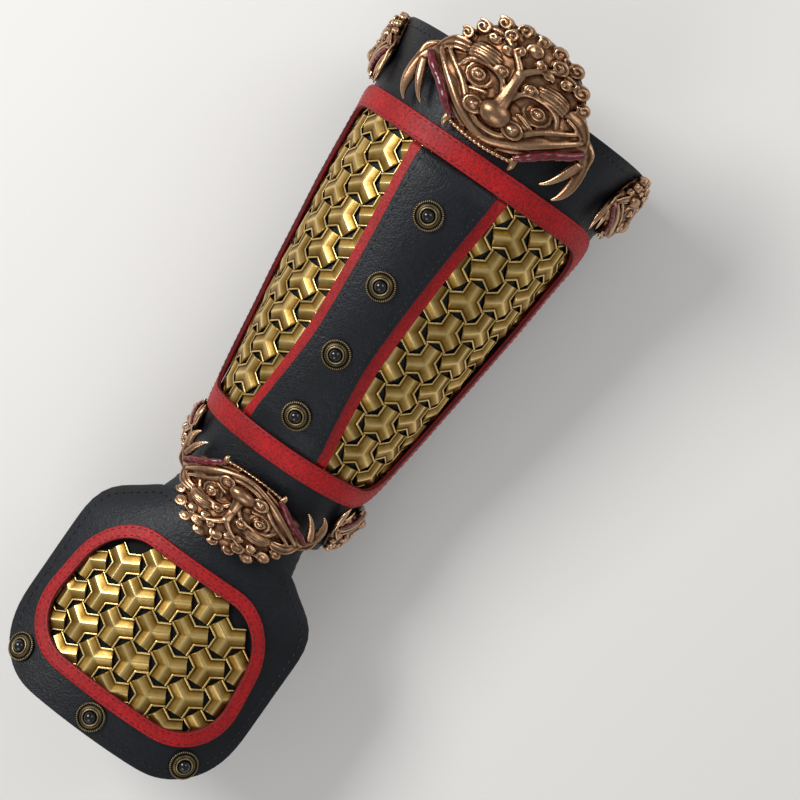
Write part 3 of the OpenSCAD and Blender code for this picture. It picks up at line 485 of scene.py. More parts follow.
def metal(name, slot, low, mid, high, rough, grain_mm, depth, spread=0.25):
    """Metal dark with patina where its attribute is low and rubbed bright where it is high; on the cast heads
    the attribute also holds painted shade low down by the leather.
    """
    material, tree, shader = new_material(name)
    tarnish = cloud(tree, 110.0, Detail=6.0, Roughness=0.65)
    pits = cloud(tree, 1000 / grain_mm, Detail=4.0)
    level = combine(tree, "ADD", wear_and_shade_share(tree), stretch(tree, tarnish, spread * 2, -spread))
    colour = ramp(tree, level, [(0.12, low), (0.42, mid), (0.88, high)])
    matt = to_range(tree, level, rough + 0.28, rough)
    sources = {"Base Color": colour, "Roughness": matt, "Normal": bumps(tree, pits, depth, 0.0002)}
    wire(tree, shader, sources, Metallic=1.0)
    return material, slot


# Pressed brass scales in the old mountain pattern: three blunt arms, a crest along each, two sloped
# facets and a thin raised lip along every notch. Age has left dark patina in the low places and the
# crests and lips are rubbed bright.
pressed_brass = metal("aged_pressed_brass", "gold_scales", "17100A", "8C692A", "EACB84", 0.27, 0.6, 0.25)
scale_pitch, scale_arm_w = 18.0, 10.2
row_gap = scale_pitch * math.sqrt(3) / 2
notch_r = scale_arm_w / math.sqrt(3)
arm_reach = scale_pitch - scale_pitch / math.sqrt(12) - scale_arm_w / math.sqrt(12) - 0.55
facet_h, crest_h, tip_h, end_h, rim_share = 0.7, 2.2, 1.75, 1.1, 0.985
along_stops = (0, 0.12, 0.3, 0.5, 0.7, 0.86, 0.95, 1)
across_stops = (0, 0.09, 0.3, 0.54, 0.7, 0.78, 0.85, 0.93, 0.975, 1)
crest_share = (1, 0.9, 0.62, 0.34, 0.15, 0.04, 0, 0, 0, 0)
lip_rise = (0, 0, 0, 0, 0, 0.1, 0.48, 0.56, 0.42, 0.12)
brightness = (1, 0.75, 0.52, 0.45, 0.3, 0.16, 0.75, 1, 0.85, 0.35)
bm = bmesh.new()
wear_and_shade = bm.verts.layers.float.new("wear_and_shade")
for turn, side in [(math.radians(arm), side) for arm in (0, 120, 240) for side in (-1, 1)]:
    for v in bmesh.ops.create_grid(bm, x_segments=7, y_segments=9, size=0.5)["verts"]:
        i, j = round((v.co.x + 0.5) * 7), round((v.co.y + 0.5) * 9)
        u, t = along_stops[i], across_stops[j]
        crest = Vector((arm_reach * u, 0))
        notch = Vector((notch_r / 2, side * scale_arm_w / 2))
        edge = notch.lerp(Vector((arm_reach, side * scale_arm_w / 2)), u)
        x, y = crest.lerp(edge, t)
        top = mix(crest_h, tip_h, u) if i < 7 else end_h
        h = facet_h + (top - facet_h) * crest_share[j] + lip_rise[j]
        v.co = (x * math.cos(turn) - y * math.sin(turn), x * math.sin(turn) + y * math.cos(turn), h)
        v[wear_and_shade] = brightness[j] * (1 if i < 7 else 0.6)
bmesh.ops.remove_doubles(bm, verts=bm.verts, dist=1e-4)
for v in {v for e in bm.edges if e.is_boundary for v in e.verts}:
    v.co.x *= rim_share
    v.co.y *= rim_share
sides = bmesh.ops.extrude_edge_only(bm, edges=[e for e in bm.edges if e.is_boundary])["geom"]
for v in sides:
    if isinstance(v, bmesh.types.BMVert):
        v.co = (v.co.x / rim_share, v.co.y / rim_share, 0)
        v[wear_and_shade] = 0
bmesh.ops.recalc_face_normals(bm, faces=bm.faces)
one_scale = as_mesh("one_scale", bm)


def inside_round(x, y, x0, x1, half, r):
    """The point, or the nearest one in a rectangle with round corners."""
    x, y = min(max(x, x0), x1), min(max(y, -half), half)
    a, b = min(max(x, x0 + r), x1 - r), min(max(y, r - half), half - r)
    far = math.hypot(x - a, y - b)
    return (x, y) if far <= r else (a + (x - a) * r / far, b + (y - b) * r / far)


def scale_field(name, places, trim, put, body, node):
    """Scales at the places; trim brings their points inside the window and put places them."""
    bm = bmesh.new()
    for x, w in places:
        start = len(bm.verts)
        bm.from_mesh(one_scale)
        bm.verts.ensure_lookup_table()
        tip = Vector((wave(x, w, 40.0, 5.0), wave(x, w, 80.0, 5.0))) * 0.02
        for v in bm.verts[start:]:
            a, b = trim(x + v.co.x, w + v.co.y)
            v.co = put(a, b, v.co.z * (1 + tip.x * v.co.x + tip.y * v.co.y))
    bmesh.ops.dissolve_degenerate(bm, dist=2e-6, edges=bm.edges)
    bmesh.ops.recalc_face_normals(bm, faces=bm.faces)
    piece = finish_piece(name, bm, pressed_brass, body, node)
    piece.data.set_sharp_from_angle(angle=math.radians(46))


# Millimetres that the scales run under the frame, and that a scale's middle may lie outside it.
frame_reach, frame_seat = 9.4, 7


def window_grown(g):
    return window_s0 - g, window_s1 + g, math.radians(frame_side) * mid_r + g, frame_corner + g


def trim_to_window(s, w):
    s, y = inside_round(s, w * mid_r / arm_r(s), *window_grown(frame_reach))
    return s, y * arm_r(s) / mid_r


def in_window(s, w):
    y = w * mid_r / arm_r(s)
    return inside_round(s, y, *window_grown(frame_seat)) == (s, y)


panel_s, panel_w = window_s0 - 2, 4
for name, side in (("left", 1), ("right", -1)):
    places = []
    for j in range(7):
        for i in range(-1, 13):
            s, w = panel_s + (i + j % 2 / 2) * scale_pitch, panel_w + j * row_gap
            if w > strip_half(s) - 0.5 and in_window(s, w):
                places.append((s, w * side))
    scale_field("brass_scales_" + name, places, trim_to_window,
                lambda s, w, h: along_arm(s, w, scale_h + h), "forearm", "scale_panel_" + name)

# Each round stud is a turned brass disc with a knurled rim, a dished slope and an inner ring that
# grips a glossy black glass bead; dark antiquing is left in the grooves and rubbed off the rings.
antique_brass = metal("antiqued_stud_brass", "antique_stud", "0E0C0A", "3F3526", "9C8A66", 0.34, 0.4, 0.3)
glass, tree, shader = new_material("black_glass_bead")
smudge = cloud(tree, 420.0, Detail=3.0)
glass_colour = ramp(tree, smudge, [(0.3, "050506"), (0.7, "0C0C0F")])
glass_gloss = to_range(tree, smudge, 0.04, 0.12, 0.35, 0.7)
wire(tree, shader, {"Base Color": glass_colour, "Roughness": glass_gloss}, IOR=1.6)
black_glass = (glass, "black_bead")
disc_profile = [
    (0, 0, 0), (7.05, 0, 0), (7.4, 0.25, 0.5), (7.5, 0.7, 0.7), (7.4, 1.2, 1), (7, 1.5, 1), (6.55, 1.45, 0.7),
    (6.3, 1.2, 0.05), (6.0, 1.2, 0.1), (5.5, 1.6, 0.5), (4.9, 2.1, 0.6), (4.6, 2.2, 0.3), (4.45, 2.1, 0),
    (4.25, 2.45, 0.8), (3.95, 2.62, 1), (3.6, 2.5, 0.7), (3.36, 2.2, 0), (3.36, 1.12, 0), (0, 1.12, 0),
]
knurl_teeth, knurl_r = 44, 6.5
bead_r, bead_mid, bead_foot = 3.2, 1.63, 1.14


def standing(place, along, up):
    """A frame at the place with its x along and its z up, both of them unit vectors."""
    across = up.cross(along).normalized()
    return Matrix.Translation(place) @ Matrix((across.cross(up), across, up)).transposed().to_4x4()


def seated(put, x, w, h):
    """A frame that stands on a surface at (x, w), h millimetres off it."""
    along = put(x + 1, w, 0) - put(x - 1, w, 0)
    up = along.cross(put(x, w + 1, 0) - put(x, w - 1, 0)).normalized()
    if up.dot(put(x, w, 1) - put(x, w, 0)) < 0:
        up.negate()
    return standing(put(x, w, 0) + up * h / 1000, along, up) @ Matrix.Scale(0.001, 4)


def stud_disc():
    """The turned disc, spun from its profile, with the knurls cut into its rim."""
    bm = bmesh.new()
    wear_and_shade = bm.verts.layers.float.new("wear_and_shade")
    made = []
    for r, z, rub in disc_profile:
        made.append(bmesh.ops.create_vert(bm, co=(r, 0, z))["vert"][0])
        made[-1][wear_and_shade] = rub
    edges = [bmesh.ops.contextual_create(bm, geom=[a, b])["edges"][0] for a, b in zip(made, made[1:])]
    bmesh.ops.spin(bm, geom=made + edges, axis=(0, 0, 1), steps=176, angle=2 * math.pi, use_merge=True)
    bmesh.ops.remove_doubles(bm, verts=bm.verts, dist=1e-4)
    for v in bm.verts:
        if math.hypot(v.co.x, v.co.y) > knurl_r and v.co.z > 0.1:
            tooth = 0.5 + 0.5 * math.cos(math.atan2(v.co.y, v.co.x) * knurl_teeth)
            v.co.x *= 1 - 0.03 * tooth
            v.co.y *= 1 - 0.03 * tooth
            v.co.z -= 0.22 * tooth * (v.co.z > 1)
            v[wear_and_shade] *= 1 - 0.75 * tooth
    return bm


def stud_bead():
    """The domed bead, flat where it sits in the disc."""
    bm = bmesh.new()
    bm.verts.layers.float.new("wear_and_shade")
    bmesh.ops.create_uvsphere(bm, u_segments=40, v_segments=24, radius=bead_r)
    bmesh.ops.translate(bm, verts=bm.verts, vec=(0, 0, bead_mid))
    cut_below(bm, bead_foot)
    return bm


def studs(name, put, places, body, disc_node, bead_node):
    for kind, shape, finish, node in (
        ("discs", stud_disc, antique_brass, disc_node),
        ("beads", stud_bead, black_glass, bead_node),
    ):
        parts = []
        for x, w, h in places:
            bm = shape()
            bmesh.ops.recalc_face_normals(bm, faces=bm.faces)
            bmesh.ops.transform(bm, matrix=seated(put, x, w, h), verts=bm.verts)
            parts.append(bm)
        finish_piece(name + kind, joined(parts), finish, body, node)


stud_places = []
for i in range(4):
    s = mix(window_s0 + 17, window_s1 - 24, (i / 3) ** 1.06)
    stud_places.append((s, 0, strip_top(s) + 0.55))
studs("strip_stud_", along_arm, stud_places, "forearm", "strip_conchos", "strip_beads")

# The hand guard is a flared plate of black leather over suede, hung from the wrist by a soft neck.
# Its window is cut like the cover's, and black cloth glued on the suede shows between the scales.
neck_len, guard_w, guard_curve, flare_len, tip_corner, guard_mid = 12, 136, 110, 22, 36, 74
neck_r, neck_half = wrist_w**2 / wrist_d / 2, wrist_w * 0.56
ring_d0, ring_d1, ring_corner, ring_taper, ring_w = 39.5, 108.5, 26, 0.14, 7.5
ring_side = guard_w / 2 - 8 - ring_w
backing_t, guard_t, ring_t = 1.4, 2.4, 2.0
guard_cover_h = backing_t + lay
guard_scale_h = backing_t + 0.55
guard_top = guard_cover_h + guard_t
ring_h = guard_scale_h + scale_ridge_t + lay


def off_wrist(d, y, up):
    """A point d out along the guard's slope, y across it and up off it, in metres."""
    sd, cd = math.sin(guard_droop), math.cos(guard_droop)
    return Vector((-x_mid - d * cd - up * sd, y, base_z + wrist_d - 1.2 - d * sd + up * cd)) / 1000


def on_guard(d, w, h):
    """The place of a point d out from the wrist and w across, h over the guard's lower face."""
    r = mix(neck_r, guard_curve, ease(d / 50))
    a = w / r
    h = h + 0.4 * wave(d, w, 11.0) * ease((d - neck_len) / 20)
    return off_wrist(d, (r + h) * math.sin(a), (r + h) * math.cos(a) - r)


def guard_half(d):
    past = d - (guard_len - tip_corner)
    if past > 0:
        return guard_w / 2 - tip_corner + math.sqrt(max(tip_corner**2 - past**2, 0))
    return mix(neck_half, guard_w / 2, ease((d - neck_len) / flare_len))


def ring_share(d):
    """How much of its full width the ring has at d."""
    return 1 - ring_taper * (ring_d1 - d) / (ring_d1 - ring_d0)


def ring_loop(g):
    r = ring_corner + g
    loop = rounded_loop(ring_d0 - g, ring_d1 + g, -ring_side - g, ring_side + g, r, r, 18, 26, 12)
    return [(d, w * ring_share(d)) for d, w in loop]


def with_neighbours(loop):
    """Each point of a closed loop between the ones before and after it."""
    return list(zip(loop[-1:] + loop[:-1], loop, loop[1:] + loop[:1]))


def guard_edge():
    """The guard's outline, one point for each of the ring's."""
    loop = []
    for d, w in ring_loop(0):
        way = Vector((d - guard_mid, w)).normalized()
        near, far = 20.0, 110.0
        for _ in range(22):
            middle = (near + far) / 2
            p = Vector((guard_mid, 0)) + way * middle
            inside = neck_len < p.x < guard_len and abs(p.y) < guard_half(p.x)
            near, far = (middle, far) if inside else (near, middle)
        loop.append((guard_mid + way.x * near, way.y * near))
    for _ in range(3):
        loop = [tuple((a[k] + 2 * p[k] + c[k]) / 4 for k in (0, 1)) for a, p, c in with_neighbours(loop)]
    return loop


outer = guard_edge()
browns = ("4A3222", "644632", "0C0C0E")
cloth_suede = leather("suede_with_black_cloth", "suede_lining", *browns, 0.8, 0.5, 0.9, 0.3)
steps = [(1 - i / 10, 0, 0) for i in range(10)]
steps += [(0.012, 0, 0), (0.003, 0.15, 0), (0, 0.4, 0), (0, 1.0, 0), (0.003, 1.25, 0), (0.012, backing_t, 0)]
steps += [(i / 10, backing_t, min(1, i / 3)) for i in range(1, 11)]
rings = []
for f, h, rub in steps:
    f = min(f, 0.99)
    rings.append([(on_guard(mix(d, guard_mid, f), mix(w, 0, f), h), rub) for d, w in outer])
finish_piece("suede_guard_lining", loft(rings, False), cloth_suede, "hand_guard", "guard_lining")
section = []
for f, h, rub in rubbed_outside(edge_profile(0, 1, guard_cover_h, guard_top, 0.03, 8)):
    skived = 0.3 * max(0, 1 - f / 0.1) ** 2 if h < guard_cover_h + 1.2 else 0
    section.append((f, h + skived, rub))
plate = between(outer, ring_loop(ring_w - 1))
band("guard_leather_plate", section, plate, on_guard, black_leather, "hand_guard", "guard_leather")

# The guard's ring is the same dyed red leather as the frame, skived at both cut edges.
section = edge_profile(0, ring_w, ring_h, ring_h + ring_t, 0.7, 4)
band("guard_ring_leather", section, ring_loop, on_guard, red_leather, "hand_guard", "guard_red_ring")
ring_reach, ring_seat = 5.9, 3.5


def ring_grown(g):
    return ring_d0 - g, ring_d1 + g, ring_side + g, ring_corner + g


def trim_to_ring(d, w):
    d, y = inside_round(d, w / ring_share(d), *ring_grown(ring_reach))
    return d, y * ring_share(d)


places = []
for j in range(-4, 5):
    for i in range(-1, 8):
        d, w = 37 + (i + abs(j) % 2 / 2) * scale_pitch, j * row_gap
        y = w / ring_share(d)
        if inside_round(d, y, *ring_grown(ring_seat)) == (d, y):
            places.append((d, w))
scale_field("brass_guard_scales", places, trim_to_ring,
            lambda d, w, h: on_guard(d, w, guard_scale_h + h), "hand_guard", "guard_scales")
stud_w = guard_w / 2 - 18.5
stud_places = [(guard_len - d, w, guard_top + 0.35) for d, w in ((9, 0), (14, stud_w), (14, -stud_w))]
studs("guard_stud_", on_guard, stud_places, "hand_guard", "guard_conchos", "guard_beads")

# The neck between shell and guard is a soft, creased strip of thin black leather. It is the part
# that bends when the hand drops; here it is made once in its rest shape and rides on neither body.
# Its tongues run a little way into the leather at both ends.
calf = leather("soft_creased_calf", "soft_leather", "101418", "232A31", "2C3238", 0.38, 0.7, 0.6, 0.9, 3.5)
neck_end_d, neck_tongue, neck_overlap = neck_len - 0.3, -1.4, neck_len + 2.6
rings = []
for i in range(57):
    w = mix(-neck_half, neck_half, i / 56)
    start = 0.3 + neck_r * (1 - math.cos(w / neck_r)) * math.tan(guard_droop)
    section = [(neck_overlap, 1.45), (neck_len - 0.1, 1.45)]
    for k in range(13):
        section.append((mix(neck_end_d, start, k / 12), 0.3 * abs(k / 6 - 1) ** 12))
    section += [(start, 1.25), (neck_tongue, 1.25), (neck_tongue, 1.42), (start, 1.42)]
    for k in range(13):
        section.append((mix(start, neck_end_d, k / 12), 1.6 - 0.12 * abs(k / 6 - 1) ** 12))
    section += [(neck_len - 0.1, 1.66), (neck_overlap, 1.66)]
    ring = []
    for d, h in section:
        share = min(max((d - start) / (neck_end_d - start), 0), 1)
        fold = 0.55 * wave(d * 5.5, w * 0.9, 60.0, 9.0) * math.sin(math.pi * share)
        ring.append((on_guard(d, w, h + min(fold, 0.3)), 0))
    rings.append(ring)
neck = finish_piece("creased_neck", loft(rings, False), calf, None, "wrist_gusset")
neck_start, neck_end = on_guard(0.3, 0, 0.8), on_guard(neck_end_d, 0, 0.8)
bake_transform(neck)

# The palm strap is a band of smooth strap leather that hangs in a loop below the guard from its two
# outer studs, and holds the guard against the back of the hand.
strap_colours = ("101114", "1E2023", "2E2C2A")
strap_leather = leather("smooth_strap_leather", "strap_leather", *strap_colours, 0.34, 0.55, 0.35, 0.35, 11.0)
strap_t, palm_drop, palm_half_w = 1.8, 46, 10
loop_a = (stud_w + 5) / guard_curve
loop_y = guard_curve * math.sin(loop_a) + 1.5
loop_z = guard_curve * math.cos(loop_a) - guard_curve - 5


def palm_spot(i, h):
    """Where the strap's station i is, h below its upper face: under a stud, then down the loop."""
    if i < 9:
        a, r = (stud_w - 5 + 10 * i / 8) / guard_curve, guard_curve - lay - h
        return r * math.sin(a), r * math.cos(a) - guard_curve
    t = math.pi / 2 * (i - 9) / 28
    return (loop_y - h) * math.cos(t), loop_z - (palm_drop + loop_z - h) * math.sin(t)


rings = []
for side, i in [(1, i) for i in range(38)] + [(-1, i) for i in reversed(range(37))]:
    ring = []
    for across, h, rub in edge_profile(-palm_half_w, palm_half_w, 0, strap_t, 0.6, 10):
        y, up = palm_spot(i, h)
        ring.append((off_wrist(guard_len - 19 + across, y * side, up), rub))
    rings.append(ring)
finish_piece("palm_strap_loop", loft(rings, False), strap_leather, "hand_guard", "palm_strap")


def thread(name, dark, light):
    """Waxed thread whose plies show as a fine twist."""
    material, tree, shader = new_material(name)
    twist = cloud(tree, 2600.0, Detail=2.0, Distortion=1.5)
    colour = ramp(tree, twist, [(0.35, dark), (0.65, light)])
    plies = bumps(tree, twist, 0.5, 0.0001)
    wire(tree, shader, {"Base Color": colour, "Roughness": to_range(tree, twist, 0.4, 0.7), "Normal": plies})
    return material


# Waxed thread: every cut edge is saddle stitched, with stitches about 3 mm long sunk into the
# leather. Black thread on black leather, dark oxblood thread along the red frame and ring. A gauge
# is the stitches' pitch, length and half thickness.
black_thread = thread("waxed_black_thread", "060708", "16181B")
oxblood = (thread("waxed_oxblood_thread", "2A0608", "5A1014"), "red_leather")
black_on_hide = (black_thread, "black_leather")
coarse, fine_gauge, strap_gauge = (4.2, 2.9, 0.42), (3.6, 2.4, 0.34), (3.4, 2.2, 0.3)
edge_inset, red_inset = 4.2, 1.6


def stitches(name, finish, body, put, lines, h, gauge=coarse):
    """Stitches along lines of (x, w) points, each one a bead of thread h off the surface."""
    bm = bmesh.new()
    pitch, long, thick = gauge
    size = Matrix.Diagonal((long / 2000, thick / 1000, thick / 1000, 1))
    for line in lines:
        places = [put(x, w, h) for x, w in line]
        left = pitch / 2
        for (a, b), (p, q) in zip(zip(places, places[1:]), zip(line, line[1:])):
            step = (b - a).length * 1000
            while left <= step and step > 0:
                f = left / step
                place = a.lerp(b, f)
                up = (put(mix(p[0], q[0], f), mix(p[1], q[1], f), h + 1) - place).normalized()
                spot = standing(place, (b - a).normalized(), up) @ size
                bmesh.ops.create_icosphere(bm, subdivisions=1, radius=1, matrix=spot)
                left += pitch
            left -= step
    finish_piece(name, bm, finish, body)


def closed(loop):
    return loop + loop[:1]


def drawn_in(loop, inset):
    """A closed loop of points moved inwards, square to the loop, by inset."""
    made = []
    for before, p, after in with_neighbours(loop):
        square = Vector((before[1] - after[1], after[0] - before[0])).normalized()
        if square.dot(Vector((guard_mid, 0)) - Vector(p)) < 0:
            square.negate()
        made.append((p[0] + square.x * inset, p[1] + square.y * inset))
    return made


guard_line = closed(drawn_in(outer, edge_inset))
stitches("guard_edge_stitches", black_on_hide, "hand_guard", on_guard, [guard_line], guard_top + 0.05)
ring_lines = [closed(ring_loop(g)) for g in (red_inset, ring_w - red_inset)]
ring_top, frame_top, cover_top = ring_h + ring_t, frame_h + frame_t, cover_h + cover_t
stitches("guard_ring_stitches", oxblood, "hand_guard", on_guard, ring_lines, ring_top - 0.1, fine_gauge)
stops = [mix(window_s0 + 1.5, window_s1 - 1.5, i / 60) for i in range(61)]
strip_lines = [[(s, side * (strip_half(s) - 2.2)) for s in stops] for side in (-1, 1)]
stitches("strip_stitches", black_on_hide, "forearm",
         lambda s, w, h: along_arm(s, w, strip_top(s) + 0.08), strip_lines, 0)
frame_lines = []
for g in (red_inset, frame_w - red_inset):
    frame_lines.append(closed([(s, math.radians(deg) * arm_r(s)) for s, deg in frame_loop(g)]))
stitches("frame_stitches", oxblood, "forearm", along_arm, frame_lines, frame_top - 0.12, fine_gauge)
cover_line = [(s, share * (math.radians(edge_deg(s)) * arm_r(s) - 4.5)) for s, share in cover_loop(4.5)]
stitches("cover_edge_stitches", black_on_hide, "forearm", along_arm, [closed(cover_line)], cover_top + 0.05)

# The six beast heads are thin lost-wax castings in rose bronze: ringed eyes, ribbed brows, a bulb of
# a nose with curled nostrils, a double upper lip over a row of teeth, tusks at both corners and a
# crown of curled hair. The modelling is worked up from soft rounded forms, then fused and smoothed.
# The tables hold one side of the face, and both sides are made from them.
side_rolls = (
    # The cheek, the three folds of the upper lip and a corner tooth.
    ((17, 9, 4.2, 6.6), (10, 19, 3.4, 7.4), (4, 28, 2.6, 6), (2.5, 35, 2.4, 4.2)),
    ((-1.6, 33.4, 4.6, 0.4), (2.5, 29.5, 7.4, 1.3), (11, 20, 9, 2.3), (18, 12.3, 9.2, 2.4),
     (22.6, 5, 8.8, 2.1), (24, 0, 8.8, 2.1)),
    ((-4.6, 30.4, 5.4, 0.35), (-0.5, 26.8, 8.4, 1), (7.4, 16.6, 10.2, 1.4), (14.6, 10.4, 10.8, 1.5),
     (19.2, 4.6, 10.4, 1.5), (20.2, 0, 10.6, 1.5)),
    ((2.6, 34, 4.2, 0.4), (5.5, 31, 5.6, 1.1), (13.5, 21.6, 6.6, 1.2), (20.5, 14, 6.6, 1.3),
     (24, 7, 6.6, 1.2)),
    ((23.6, 15, 5.4, 1.9), (27, 15.6, 5.6, 1.3), (29.6, 15.2, 4.6, 0.5)),
    # The wing of the nose, and the two rolls of the forehead.
    ((9, 4, 11.4, 1.3), (11, 9.6, 11, 1.2), (15.5, 11.4, 9.6, 1)),
    ((-8.5, 0, 13.4, 1.7), (-13, 3.2, 12.8, 1.35), (-17.5, 8.5, 11, 1.3), (-19.5, 14, 8.6, 1),
     (-18.5, 18.5, 7.4, 0.8)),
    ((4, 1.5, 12.4, 1), (-2, 4.2, 12.4, 1.2), (-4.2, 10.5, 12.2, 1.2), (-2.4, 17.5, 10.8, 1.2),
     (3.2, 20.5, 9.6, 0.8)),
    # The ear, and the long tusk with the short one inside it.
    ((-6.5, 21, 6.4, 2.6), (-5.2, 26.5, 6.6, 2.9), (-1.6, 31.6, 5.6, 1.5), (1.2, 34.4, 4.4, 0.6)),
    ((-8.6, 22, 7.8, 0.7), (-8, 27.4, 8, 0.75), (-3.8, 32.2, 6.6, 0.6), (1, 34.8, 5.2, 0.5)),
    ((-4.2, 21.6, 8.6, 0.6), (-3, 26, 8.8, 0.65), (-0.6, 30.6, 7, 0.5)),
    ((1.5, 35, 2.8, 3), (9, 38.2, 3.8, 3.1), (19, 39.4, 4.2, 2.5), (25.5, 38.6, 3.8, 1.5),
     (29.4, 36.6, 3.2, 0.4)),
    ((9, 36.4, 5, 2.3), (17, 33.8, 5.6, 1.9), (23.2, 31.2, 4.8, 1.2), (26.6, 28.6, 4, 0.4)),
)
# The nostril, the eye and the knob between eye and crown, each a ball with rings and a bead.
side_rings = (
    (14, 8, 12.6, 3.3, 0.95), (1.7, 12, 10.6, 4.9, 0.85), (1.7, 12, 13, 2.35, 0.5),
    (-5, 5.9, 13.1, 2.2, 0.55),
)
side_balls = (
    (14, 8, 11.8, 2.9), (14, 8, 14, 1.1), (1.7, 12, 9.6, 4.1), (1.7, 12, 13.6, 1.25),
    (-5, 5.9, 11.2, 3), (-5, 5.9, 13.8, 1.1),
)
crown_curls = (
    (-14.4, 8.0, 11.8, 2.4), (-16.8, 4.4, 11.8, 2.5), (-20.6, 9.4, 8.8, 3.9), (-24.0, 15.2, 5.4, 3.7),
    (-17.4, 20.8, 6.8, 3.9), (-25.8, 7.0, 5.6, 3.9), (-11.6, 25.2, 6.2, 3.4), (-15.8, 14.6, 9.6, 2.8),
)


def evaluated_mesh(piece):
    """The mesh that an object gives with its modifiers; the object itself goes."""
    made = bpy.data.meshes.new_from_object(piece.evaluated_get(bpy.context.evaluated_depsgraph_get()))
    bpy.data.objects.remove(piece)
    return made


